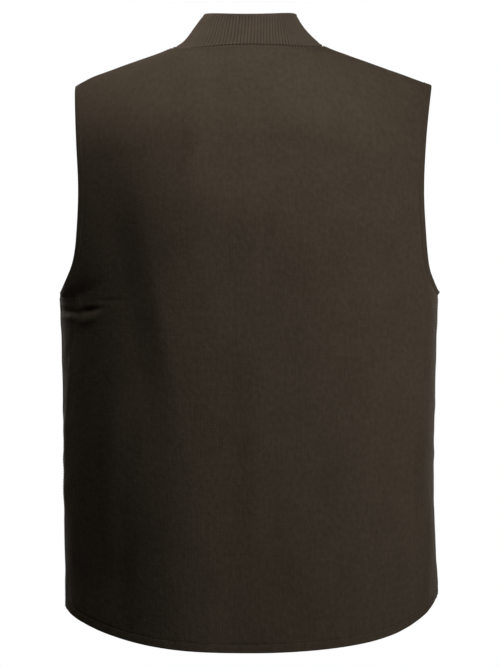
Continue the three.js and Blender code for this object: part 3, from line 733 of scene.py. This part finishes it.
def armhole_line(panel, side):
    """The finished armhole edge of a panel from the underarm to the shoulder's tip."""
    column = np.argmax(panel.shares) if side == "right" else np.argmin(panel.shares)
    rows = panel.levels >= 1
    return panel.smooth[rows, column], panel.normals[rows, column]


def binding_section():
    """Folded tape: distances out of the cloth's edge and heights over the cloth."""
    near, far = -BINDING["lap"], SEAM_GAP + BINDING["width"]
    high, low = BINDING["proud"], -CANVAS_WALL - BINDING["proud"]
    middle, half, lip = (high + low) / 2, (high - low) / 2, BINDING["lip"]
    inward, drop = (lip * share for share in BINDING_LIP_TURN)
    lips = [(near + lip, low), (near, low + lip), (near, high - lip), (near + inward, high - drop)]
    share = np.linspace(*BINDING_CROWN)
    crown = np.stack([lerp(near, far - half, share), high + BINDING["crown"] * np.sin(np.pi * share)], -1)
    turn = np.linspace(0, np.pi, BINDING_FOLD_STEPS)
    folded = np.stack([far - half + half * np.sin(turn), middle + half * np.cos(turn)], -1)
    return np.concatenate([lips, crown, folded])


def solid_volume(points, faces):
    a, b, c, d = (points[faces[:, k]] for k in range(4))
    return (np.cross(a, b) * c + np.cross(a, c) * d).sum() / 6


def armhole_binding(name, side, back, front, finish):
    """A tape sewn round the armhole's edge, which flares away from the body at the underarm. Also gives the
    line of its stitches, with the way out of the tape."""
    points_up, normals_up = armhole_line(back, side)
    points_down, normals_down = armhole_line(front, side)
    line = np.concatenate([points_up, points_down[-2:0:-1]])
    facing = np.concatenate([normals_up, normals_down[-2:0:-1]])
    for seam in (0, len(points_up) - 1):
        facing[seam, 1] = 0
        line[seam, 1] = 0
    facing = unit(facing)
    along = np.roll(line, -1, 0) - np.roll(line, 1, 0)
    out = unit(np.cross(along, facing)) * (1 if side == "right" else -1)

    def towards_underarm(part):
        return smoothstep(-line[:, 2], -UNDERARM - BINDING_NEAR_UNDERARM[part], -UNDERARM)

    flare = (BINDING_FLARE[side] * towards_underarm("flare"))[:, None]
    breadth = lerp(1, BINDING_AT_UNDERARM[side], towards_underarm("narrow"))
    sunk = BINDING_SUNK[side] * towards_underarm("sink")
    across = out * np.cos(flare) + facing * np.sin(flare)
    proud = facing * np.cos(flare) - out * np.sin(flare)
    run = run_along(line, 0)
    ripple = 1
    for wave in BINDING_RIPPLES:
        ripple = ripple + wave["share"] * soft_noise(run / wave["period"], 0 * run, wave["seed"])
    section = binding_section()
    rings = line[:, None] + across[:, None] * (section[:, 0] * breadth[:, None])[..., None]
    rings = rings + proud[:, None] * (section[:, 1] * ripple[:, None] - sunk[:, None])[..., None]
    size = rings.shape[:2]
    index = np.arange(size[0] * size[1]).reshape(size)
    ahead, beside = np.roll(index, -1, 0), np.roll(index, -1, 1)
    faces = np.stack([index, beside, np.roll(beside, -1, 0), ahead], -1).reshape(-1, 4)
    points = rings.reshape(-1, 3)
    if solid_volume(points, faces) < 0:
        faces = faces[:, ::-1]
    girth = np.broadcast_to(np.linspace(0, BINDING["girth"], size[1]), size)
    cloth = np.stack([np.broadcast_to(run[:, None], size), girth], -1).reshape(-1, 2)
    rim = np.broadcast_to(hump((section[:, 0] + BINDING["lap"]) / BINDING["worn"]), size)
    piece = new_piece(name, points, faces.tolist(), finish, cloth, rim.ravel())
    first = BINDING_STITCH["point"]
    sewn = lerp(rings[:, first], rings[:, first + 1], BINDING_STITCH["share"])
    return piece, (np.concatenate([sewn, sewn[:1]]), np.concatenate([proud, proud[:1]]))


def stitch_line(name, runs, finish):
    """Thread stitches along runs of points and normals, each a short bent bar that dips at both ends."""
    length, gap, sides, steps = STITCH["length"], STITCH["gap"], STITCH["sides"], len(STITCH_BAR)
    index = np.arange(steps * sides).reshape(steps, sides)
    beside = np.roll(index, -1, 1)
    quads = np.stack([index[:-1], beside[:-1], beside[1:], index[1:]], -1).reshape(-1, 4)
    bar = [*quads.tolist(), index[0][::-1].tolist(), index[-1].tolist()]
    turn = (np.arange(sides) / sides * 2 * np.pi)[:, None]
    thick = STITCH["thread"] * np.array([row["thick"] for row in STITCH_BAR])
    rise = STITCH["thread"] * np.array([row["rise"] for row in STITCH_BAR])
    points = []
    for line, facing in runs:
        run = run_along(line, 0)
        for start in np.arange(gap, run[-1] - length, length + gap):
            at = start + length * np.linspace(0, 1, steps)
            middle = read_at(at, run, line)
            up = unit(read_at(at, run, facing))
            across = unit(np.cross(unit(np.gradient(middle, axis=0)), up))
            ring = across[:, None] * np.cos(turn) + up[:, None] * np.sin(turn)
            ring = (middle + up * rise[:, None])[:, None] + thick[:, None, None] * ring
            points.append(ring.reshape(-1, 3))
    faces = [[corner + k * steps * sides for corner in face] for k in range(len(points)) for face in bar]
    return new_piece(name, np.concatenate(points), faces, finish)


def front_line():
    """Points and tangents up the middle of the front, from above the hem's fold to below the collar's edge,
    and the height of the neckline seam there."""
    levels = row_levels()
    panel = body_points("front", np.zeros(len(levels)), levels)
    panel = panel[panel[:, 2] > HEM_AT_CENTRE["front"] + ZIP_ENDS["above_hem"]]
    seam = panel[-1]
    down = np.linspace(1, 0, ZIP_COLLAR_ROWS)[1:]
    y = lerp(COLLAR_TOP["front"], seam[1], collar_flare(down, 0.0))
    z = lerp(COLLAR_TOP_HEIGHT["front"], seam[2], down)
    line = np.concatenate([panel, np.stack([0 * y, y, z], -1)])
    whole = run_along(line, 0)[-1]
    length = whole - ZIP_ENDS["below_edge"]
    steps = np.linspace(0, length / whole, round(length / ZIP_ROW))
    line = points_at(line, places_along(line, steps))
    return line, unit(np.gradient(line, axis=0)), seam[2]


def facing_of(tangents):
    """The way out of the front, square to its middle line."""
    return np.stack([tangents[:, 0], tangents[:, 2], -tangents[:, 1]], -1)


def zip_depth(z, seam_height):
    """How far the tape's face lies behind the outside of the cloth, and of the hem's fold."""
    above_fold = z - HEM_AT_CENTRE["front"] - HEM_FOLD
    fold = HEM_EXTRA * (1 - smoothstep(above_fold, *ZIP_BEHIND_HEM))
    in_collar = smoothstep(z, seam_height - ZIP_BEHIND_COLLAR, seam_height)
    return ZIP["clear"] + fold + lerp(CANVAS_WALL, COLLAR_WALL, in_collar)


def zip_tape(line, tangents, seam_height, finish):
    """The woven tape behind the fronts, whose edges bend back to follow the round collar."""
    across = np.linspace(ZIP["tape"], -ZIP["tape"], ZIP_COLUMNS)
    z = line[:, 2]
    start, end = seam_height - ZIP_COLLAR_BEND["start"], seam_height - ZIP_COLLAR_BEND["end"]
    bend = ZIP_COLLAR_BEND["depth"] * smoothstep(z, start, end)
    outward = np.clip((np.abs(across) - ZIP["chain"]) / (ZIP["tape"] - ZIP["chain"]), 0, 1)
    depth = zip_depth(z, seam_height)[:, None] + bend[:, None] * outward
    out = facing_of(tangents)[:, None]
    outer = line[:, None] - out * depth[..., None]
    outer[..., 0] = across
    inner = outer - out * ZIP["wall"]
    cloth = np.stack(np.broadcast_arrays(run_along(line, 0)[:, None], across[None]), -1)
    edge = np.broadcast_to(hump((np.abs(across) - ZIP["tape"]) / ZIP["worn"]), depth.shape)
    return wall_piece("zip_tape", outer, inner, cloth, edge, finish)


def choose(piece, wanted):
    """Selects, for edit mode, the vertices whose places are wanted."""
    bpy.ops.mesh.select_all(action="DESELECT")
    bpy.ops.object.mode_set(mode="OBJECT")
    places = np.array([vertex.co for vertex in piece.data.vertices])
    piece.data.vertices.foreach_set("select", wanted(*places.T))
    bpy.ops.object.mode_set(mode="EDIT")
    bpy.ops.mesh.select_mode(type="VERT")


def new_block(name, size):
    """A cube of a size, about the origin, left in edit mode with all of it selected."""
    bpy.ops.object.select_all(action="DESELECT")
    bpy.ops.mesh.primitive_cube_add(size=1)
    block = bpy.context.object
    block.name = name
    bpy.ops.object.mode_set(mode="EDIT")
    bpy.ops.mesh.select_mode(type="VERT")
    bpy.ops.transform.resize(value=size)
    return block


def extrude(x, y, z):
    bpy.ops.mesh.extrude_region_move(TRANSFORM_OT_translate={"value": (x, y, z)})


def cut_across(axis, places):
    """Cuts the edited mesh at places along an axis."""
    for place in places:
        bpy.ops.mesh.select_all(action="SELECT")
        bpy.ops.mesh.bisect(plane_co=Vector(axis) * place, plane_no=axis)


def finish_fitting(piece, width, finish, seat):
    """Leaves edit mode, rounds the sharp edges, gives the piece its finish and sets it in its place."""
    bpy.ops.object.mode_set(mode="OBJECT")
    bevel = piece.modifiers.new("rounding", "BEVEL")
    bevel.width = width
    bevel.segments = BEVEL_STEPS
    bevel.limit_method = "ANGLE"
    bpy.ops.object.modifier_apply(modifier=bevel.name)
    bpy.ops.object.shade_smooth_by_angle(angle=SHARP_ANGLE)
    piece.data.materials.append(finish)
    piece.matrix_world = seat
    bpy.ops.object.transform_apply(location=True, rotation=True, scale=True)
    return piece


def zip_tooth(depth):
    """One moulded tooth along +X: a block on the tape with a narrower nose that meets the other side."""
    half = TOOTH["across"] / 2
    tooth = new_block("tooth", (half, TOOTH["along"], depth))
    choose(tooth, lambda x, y, z: x > 0)
    extrude(half, 0, 0)
    bpy.ops.transform.resize(value=TOOTH_NOSE)
    bpy.ops.mesh.select_all(action="SELECT")
    bpy.ops.mesh.bevel(offset=TOOTH["round"], segments=1, affect="EDGES")
    bpy.ops.object.mode_set(mode="OBJECT")
    return tooth


def zip_teeth(line, tangents, seam_height, finish):
    """Both rows of teeth, copied from one, each row half a pitch past the other."""
    height = ZIP["clear"] + CANVAS_WALL + ZIP["top"]
    tooth = zip_tooth(height)
    shape = np.array([vertex.co for vertex in tooth.data.vertices])
    tooth_faces = [list(face.vertices) for face in tooth.data.polygons]
    bpy.data.objects.remove(tooth)
    whole = run_along(line, 0)[-1]
    shares = np.arange(TOOTH["pitch"], whole - SLIDER["below_end"], TOOTH["pitch"] / 2) / whole
    places = places_along(line, shares)
    middle, up = points_at(line, places), unit(points_at(tangents, places))
    out = facing_of(up)
    side = np.where(np.arange(len(shares)) % 2, 1, -1)
    deep = zip_depth(middle[:, 2], seam_height) - height / 2
    centre = middle - out * deep[:, None]
    centre[:, 0] = side * TOOTH["off_centre"]
    inward = np.stack([-side, 0 * side, 0 * side], -1)
    axes = np.stack([inward, np.cross(out, inward), out], 1)
    points = (centre[:, None] + shape[None] @ axes).reshape(-1, 3)
    starts = range(0, len(points), len(shape))
    faces = [[corner + start for corner in face] for start in starts for face in tooth_faces]
    return new_piece("zip_teeth", points, faces, finish, smooth=False)


def zip_slider(seat, finish):
    """The slider: a plate pair round the chain, narrow at its lower end, with an arch for the pull."""
    depth, near, far = SLIDER["depth"], POST["near"], POST["far"]
    slider = new_block("zip_slider", (SLIDER["width"], SLIDER["height"], depth))
    choose(slider, lambda x, y, z: y < 0)
    bpy.ops.transform.resize(value=ZIP_TAPER)
    cut_across((0, 0, 1), (-depth * SLOT_CUT, depth * SLOT_CUT))
    choose(slider, lambda x, y, z: np.abs(z) < depth * SLOT_CUT + TOLERANCE)
    bpy.ops.mesh.extrude_region_shrink_fatten(TRANSFORM_OT_shrink_fatten={"value": -SLIDER["slot"]})
    cut_across((0, 1, 0), (-far, -near, 0, near, far))
    cut_across((1, 0, 0), (-POST["half"], POST["half"]))

    def on_posts(x, y, z):
        along = (np.abs(y) > near - TOLERANCE) & (np.abs(y) < far + TOLERANCE)
        return along & (np.abs(x) < POST["half"] + TOLERANCE) & (z > depth / 2 - TOLERANCE)

    def under_arch(x, y, z):
        return on_posts(x, y, z - POST["rise"]) & (np.abs(y) < near + TOLERANCE)

    choose(slider, on_posts)
    extrude(0, 0, POST["rise"])
    extrude(0, 0, POST["bar"])
    choose(slider, under_arch)
    bpy.ops.mesh.bridge_edge_loops()
    return finish_fitting(slider, SLIDER["round"], finish, seat)


def zip_pull(seat, finish):
    """The pull: a flat tag with an eye at its upper end and a sunk panel below it."""
    half_length, half = PULL["length"] / 2, PULL_EYE["half"]
    pull = new_block("zip_pull", (PULL["width"], PULL["length"], PULL["wall"]))
    choose(pull, lambda x, y, z: y > 0)
    bpy.ops.transform.resize(value=ZIP_TAPER)
    upper = half_length - PULL_EYE["top"]
    lower = upper - PULL_EYE["tall"]
    panel_top, panel_foot = lower - PULL_PANEL["below_eye"], PULL_PANEL["above_foot"] - half_length
    cut_across((0, 1, 0), (upper, lower, panel_top, panel_foot))
    cut_across((1, 0, 0), (-half, half))

    def in_strip(x, y, foot, top):
        return (np.abs(x) < half + TOLERANCE) & (y > foot - TOLERANCE) & (y < top + TOLERANCE)

    choose(pull, lambda x, y, z: in_strip(x, y, lower, upper))
    bpy.ops.mesh.bridge_edge_loops()
    choose(pull, lambda x, y, z: in_strip(x, y, panel_foot, panel_top) & (z > 0))
    bpy.ops.mesh.inset(thickness=PULL_PANEL["rim"])
    bpy.ops.transform.translate(value=(0, 0, -PULL_PANEL["sunk"]))
    return finish_fitting(pull, PULL["round"], finish, seat)


def zip_seats(line, tangents):
    """Where the slider and its pull sit, as matrices with +Y up the front and +Z out of it."""
    place = places_along(line, np.array([1 - SLIDER["below_end"] / run_along(line, 0)[-1]]))
    up = Vector(unit(points_at(tangents, place))[0])
    out = Vector((0, up.z, -up.y))
    turn = Matrix((up.cross(out), up, out)).transposed().to_4x4()
    front = Vector(points_at(line, place)[0]) + out * (ZIP["top"] - SLIDER["sunk"] + SLIDER["depth"])
    slider = front - out * (SLIDER["depth"] / 2)
    pull = front + out * (PULL["wall"] * PULL["off"]) - up * (PULL["length"] / 2 - PULL["hang"])
    return (Matrix.Translation(middle) @ turn for middle in (slider, pull))


# Finishes: constants of their shaders, depth of the bump, darkest and lightest colour
LOOKS = named_table(
    "roughness sheen specular bump dark light",
    ("canvas", 0.95, 0.02, 0.05, 0.0005, (0.042, 0.0317, 0.0209), (0.082, 0.0632, 0.0441)),
    ("knit", 0.97, 0.03, 0.10, 0.0004, (0.040, 0.0304, 0.0215), (0.135, 0.104, 0.0770)),
    ("tape", 0.90, 0.05, 0.10, 0.0003, (0.036, 0.028, 0.020), (0.085, 0.068, 0.050)),
    ("thread", 0.75, 0.05, 0.10, 0.0002, (0.045, 0.035, 0.025), (0.105, 0.085, 0.063)),
    ("coating", 0.45, 0.00, 0.40, 0.00005, (0.022, 0.0175, 0.013), (0.050, 0.041, 0.031)),
    ("floor", 0.80, 0.00, 0.10, 0.0002, (0.78, 0.78, 0.77), (0.84, 0.84, 0.83)),
)
NAP_TINT = (0.60, 0.47, 0.34, 1)
NAP_ROUGHNESS = 0.5
CANVAS_THREAD = 0.00075
KNIT_LOOP = 0.0015
TAPE_CORD = 0.0013
NOISE_ROUGHNESS = 0.55


class Shade:
    """An output of a shader node. Arithmetic on it adds Math nodes."""

    def __init__(self, tree, socket=None):
        self.tree = tree
        self.socket = socket

    def node(self, kind, settings=None, inputs=None, output=0):
        made = self.tree.nodes.new(kind)
        for name, value in (settings or {}).items():
            setattr(made, name, value)
        for name, value in (inputs or {}).items():
            if isinstance(value, Shade):
                self.tree.links.new(value.socket, made.inputs[name])
            else:
                made.inputs[name].default_value = value
        return Shade(self.tree, made.outputs[output])

    def math(self, operation, *values):
        return self.node("ShaderNodeMath", {"operation": operation}, dict(enumerate(values)))

    def __add__(self, other):
        return self.math("ADD", self, other)

    def __sub__(self, other):
        return self.math("SUBTRACT", self, other)

    def __rsub__(self, other):
        return self.math("SUBTRACT", other, self)

    def __mul__(self, other):
        return self.math("MULTIPLY", self, other)

    __radd__ = __add__
    __rmul__ = __mul__

    def sine(self):
        return self.math("SINE", self)

    def noise(self, vector, scale, detail=3.0):
        """Fractal noise of a vector, with scale knots to each of its units."""
        stretched = self.node("ShaderNodeMapping", None, {"Vector": vector, "Scale": scale})
        return self.node("ShaderNodeTexNoise", {"noise_dimensions": "3D"},
                         {"Vector": stretched, "Scale": 1.0, "Detail": detail, "Roughness": NOISE_ROUGHNESS})

    def blend(self, dark, light):
        """A colour between two, at this share."""
        settings = {"data_type": "RGBA", "clamp_factor": True}
        return self.node("ShaderNodeMix", settings, {0: self, 6: (*dark, 1), 7: (*light, 1)}, 2)

    def cloth(self):
        """The cloth's own coordinates, and its two parts across and up."""
        cloth = self.node("ShaderNodeUVMap", {"uv_map": "cloth"})
        return cloth, *(self.node("ShaderNodeSeparateXYZ", None, {0: cloth}, part) for part in (0, 1))

    def edge(self):
        return self.node("ShaderNodeAttribute", {"attribute_name": "edge"}, None, 2)

    def place(self):
        return self.node("ShaderNodeTexCoord", None, None, 3)


def new_finish(name, look):
    """A material whose Principled shader has a look's constants."""
    material = bpy.data.materials.new(name)
    material.use_nodes = True
    shader = material.node_tree.nodes["Principled BSDF"]
    shader.inputs["Roughness"].default_value = look["roughness"]
    shader.inputs["Sheen Weight"].default_value = look["sheen"]
    shader.inputs["Sheen Roughness"].default_value = NAP_ROUGHNESS
    shader.inputs["Sheen Tint"].default_value = NAP_TINT
    shader.inputs["Specular IOR Level"].default_value = look["specular"]
    return material, Shade(material.node_tree)


def dress(material, look, tone, height):
    """Links a tone between a look's two colours, and a bump height, to a material's shader."""
    tree = material.node_tree
    shader = tree.nodes["Principled BSDF"]
    tree.links.new(tone.blend(look["dark"], look["light"]).socket, shader.inputs["Base Color"])
    bump = tone.node("ShaderNodeBump", None, {"Height": height, "Strength": 1.0, "Distance": look["bump"]})
    tree.links.new(bump.socket, shader.inputs["Normal"])
    return material


def canvas_finish(name):
    """Brushed cotton canvas: a plain weave, uneven warp threads, and a soft mottled nap."""
    look = LOOKS["canvas"]
    material, start = new_finish(name, look)
    cloth, across, up = start.cloth()
    weave = (across * (math.pi / CANVAS_THREAD)).sine() * (up * (math.pi / CANVAS_THREAD)).sine()
    warp = start.noise(cloth, (900, 24, 1))
    weft = start.noise(cloth, (30, 700, 1))
    nap = start.noise(cloth, (190, 150, 1), 5.0)
    mottle = start.noise(cloth, (26, 18, 1))
    tone = 0.5 + 0.35 * (warp - 0.5) + 0.15 * (weft - 0.5) + 0.9 * (nap - 0.5) + 0.5 * (mottle - 0.5)
    tone = tone + 0.05 * weave + 0.12 * start.edge()
    height = 0.25 * weave + 0.5 * warp + 0.4 * weft + 1.2 * nap
    return dress(material, look, tone, height)


def knit_finish(name):
    """Rib knit: rows of small loops up each rib, with painted shade in the grooves between ribs and along
    the neck seam.
    """
    look = LOOKS["knit"]
    material, start = new_finish(name, look)
    cloth, rib, up = start.cloth()
    slant = start.math("PINGPONG", rib * 2.0, 0.5)
    loops = ((up * (1 / KNIT_LOOP) + slant * 0.8) * (2 * math.pi)).sine()
    # crest is low in the grooves between ribs, where the tone below is darker as painted shade
    crest = start.math("ABSOLUTE", start.math("COSINE", rib * math.pi))
    fuzz = start.noise(cloth, (2.2, 900, 1), 4.0)
    uneven = start.noise(cloth, (0.25, 60, 1))
    # Painted shade: the collar's edge attribute darkens the knit along the neck seam
    tone = 0.21 + 0.49 * crest - 0.30 * start.edge()
    tone = tone + 0.10 * loops + 0.6 * (fuzz - 0.5) + 0.4 * (uneven - 0.5)
    return dress(material, look, tone, 0.6 * loops + 0.8 * fuzz)


def tape_finish(name):
    """Narrow woven tape: fine cross ribs with a slight unevenness."""
    look = LOOKS["tape"]
    material, start = new_finish(name, look)
    cloth, along, _ = start.cloth()
    cords = (along * (2 * math.pi / TAPE_CORD)).sine()
    uneven = start.noise(cloth, (220, 120, 1), 4.0)
    tone = 0.45 + 0.12 * cords + 0.8 * (uneven - 0.5) + 0.25 * start.edge()
    return dress(material, look, tone, 0.5 * cords + uneven)


def thread_finish(name):
    """Twisted sewing thread."""
    look = LOOKS["thread"]
    material, start = new_finish(name, look)
    fibre = start.noise(start.place(), (900, 900, 1600))
    return dress(material, look, fibre, fibre)


def coated_finish(name):
    """Moulded or coated zip parts: satin, with a faint grain and worn patches."""
    look = LOOKS["coating"]
    material, start = new_finish(name, look)
    grain = start.noise(start.place(), (2500, 2500, 2500))
    worn = start.noise(start.place(), (160, 160, 160), 5.0)
    return dress(material, look, 0.3 * grain + 0.7 * worn, grain)


canvas = canvas_finish("brushed_canvas")
bound = canvas_finish("binding_canvas")
knit = knit_finish("rib_knit")
tape = tape_finish("zip_tape")
coated = coated_finish("zip_coating")
thread = thread_finish("sewing_thread")

back = Panel("back")
left = Panel("front", "left")
right = Panel("front", "right")
back_cloth = panel_piece("back_canvas", back, canvas)
left_cloth = panel_piece("front_canvas_left", left, canvas)
right_cloth = panel_piece("front_canvas_right", right, canvas)
collar = rib_collar((left, back, right), knit)
left_binding, left_sewn = armhole_binding("armhole_tape_left", "left", back, left, bound)
right_binding, right_sewn = armhole_binding("armhole_tape_right", "right", back, right, bound)

zip_line, zip_tangents, zip_seam = front_line()
slider_seat, pull_seat = zip_seats(zip_line, zip_tangents)
zip_pieces = [
    zip_tape(zip_line, zip_tangents, zip_seam, tape),
    zip_teeth(zip_line, zip_tangents, zip_seam, coated),
    zip_slider(slider_seat, coated),
    zip_pull(pull_seat, coated),
]


def panel_runs(panel, edge):
    """The stitch runs along one of a panel's sewn edges: points and normals of each."""
    at_hem, at_top = edge == "hem", edge in ("neck", "shoulder")
    ends = [at_top]
    if edge == "side":
        ends = [False, True] if panel is back else [panel is left]
    if edge == "front":
        ends = [panel is right]
    keep = {
        "side": [panel.levels < 1],
        "neck": [np.abs(panel.shares) < NECK_SHARE],
        "shoulder": [panel.shares > NECK_SHARE, panel.shares < -NECK_SHARE],
    }
    runs = []
    for end in ends:
        for stitch in LAPS[edge]["stitches"]:
            line, facing = panel.inset_line(0 if at_hem or at_top else 1, end, stitch)
            parts = keep.get(edge, [np.full(len(line), True)])
            runs += [(line[part], facing[part]) for part in parts if part.any()]
    return runs


stitching = []
for edge, panels in (
    ("hem", (back, left, right)),
    ("side", (back, left, right)),
    ("neck", (back, left, right)),
    ("shoulder", (back,)),
    ("front", (left, right)),
):
    name = "front_edge_stitches" if edge == "front" else f"{edge}_stitches"
    stitching.append(stitch_line(name, [run for panel in panels for run in panel_runs(panel, edge)], thread))
stitching.append(stitch_line("armhole_stitches", [left_sewn, right_sewn], thread))

# Stage: floor, light and camera
PHOTO_SIZE = (500, 667)
PIXEL = 0.00117  # metres that a pixel of the photograph covers, on the plane of the side seams
CAMERA_PLACE = (-0.000585, -3.4, -0.313)
SENSOR = 36
FLOOR = dict(height=-1.45, radius=3.2, corners=96)
FLOOR_GLOW = (0.72, 0.72, 0.71, 1)  # keeps the floor pale in a light that suits dark cloth
WORLD_LIGHT = 0.006
WHITE = (1.0, 1.0, 1.0)
WARM = (1.0, 0.86, 0.70)
LIGHTS = table(
    "name place target size power spread colour",
    ("side", (2.0, -1.03, -0.44), (0, -0.97, -0.23), 0.8, 16.2, 1.11, WHITE),
    ("top", (0.05, -0.65, 0.80), (0, -0.25, -0.1), 0.8, 2.25, 1.5, WHITE),
    ("collar", (-0.6, -0.9, 1.0), (-0.02, -0.1, 0.0), 0.3, 0.11, 0.45, WHITE),
    ("shoulder", (-1.0, -0.3, 0.7), (-0.02, -0.03, 0.03), 0.3, 0.15, 0.3, WHITE),
    ("rim", (-1.35, 1.0, -0.45), (-0.2, 0.05, -0.45), 0.4, 0.07, 0.5, WARM),
    ("hair", (-1.13, 0.94, 0.70), (-0.1, 0, 0), 0.5, 0.5, 1.2, WARM),
    ("front_left", (-1.15, 2.3, 0.3), (0, 0, -0.26), 0.8, 1.2, 0.42, WHITE),
    ("front_right", (1.3, 2.2, 0.0), (0, 0, -0.33), 0.8, 1.3, 0.42, WHITE),
)


def plain_floor():
    bpy.ops.object.select_all(action="DESELECT")
    bpy.ops.mesh.primitive_circle_add(vertices=FLOOR["corners"], radius=FLOOR["radius"], fill_type="NGON",
                                      location=(0, 0, FLOOR["height"]))
    floor = bpy.context.object
    floor.name = "floor"
    bpy.ops.object.transform_apply(location=True, rotation=False, scale=False)
    look = LOOKS["floor"]
    material, start = new_finish("pale_floor", look)
    grain = start.noise(start.place(), (6, 6, 6))
    dress(material, look, grain, grain)
    shader = material.node_tree.nodes["Principled BSDF"]
    shader.inputs["Emission Color"].default_value = FLOOR_GLOW
    shader.inputs["Emission Strength"].default_value = 1.0
    floor.visible_diffuse = False
    floor.data.materials.append(material)


def soft_light(name, place, target, size, power, spread, colour):
    data = bpy.data.lights.new(name, "AREA")
    data.shape = "SQUARE"
    data.size = size
    data.energy = power
    data.spread = spread
    data.color = colour
    light = bpy.data.objects.new(name, data)
    bpy.context.scene.collection.objects.link(light)
    light.visible_camera = False
    light.location = place
    light.rotation_euler = (Vector(target) - Vector(place)).to_track_quat("-Z", "Y").to_euler()


def studio():
    """A white surround that hardly lights the cloth, and the soft lights that do."""
    world = bpy.data.worlds.new("studio")
    world.use_nodes = True
    tree = world.node_tree
    start = Shade(tree)
    seen = start.node("ShaderNodeLightPath", None, None, "Is Camera Ray")
    white = start.node("ShaderNodeBackground", None, {"Color": (*WHITE, 1), "Strength": 1.0})
    dim = start.node("ShaderNodeBackground", None, {"Color": (*WHITE, 1), "Strength": WORLD_LIGHT})
    mixed = start.node("ShaderNodeMixShader", None, {0: seen, 1: dim, 2: white})
    tree.links.new(mixed.socket, tree.nodes["World Output"].inputs["Surface"])
    bpy.context.scene.world = world
    for light in LIGHTS:
        soft_light(**light)


def photo_camera():
    data = bpy.data.cameras.new("camera")
    data.sensor_width = SENSOR
    data.lens = SENSOR * -CAMERA_PLACE[1] / (PHOTO_SIZE[1] * PIXEL)
    camera = bpy.data.objects.new("camera", data)
    bpy.context.scene.collection.objects.link(camera)
    camera.location = CAMERA_PLACE
    camera.rotation_euler = (math.pi / 2, 0, 0)
    bpy.context.scene.camera = camera


plain_floor()
studio()
photo_camera()
bpy.context.scene.view_settings.view_transform = "Standard"

# Which body and node each piece stands for
for piece, node, slot in (
    (back_cloth, "back_panel", "canvas"),
    (left_cloth, "front_panel_left", "canvas"),
    (right_cloth, "front_panel_right", "canvas"),
    (collar, "rib_collar", "rib_knit"),
    (left_binding, "armhole_binding_left", "binding"),
    (right_binding, "armhole_binding_right", "binding"),
):
    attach(piece, "root")
    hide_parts(node)
for piece in stitching:
    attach(piece, "root")
for piece in zip_pieces:
    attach(piece, "root")
    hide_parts("front_zip")
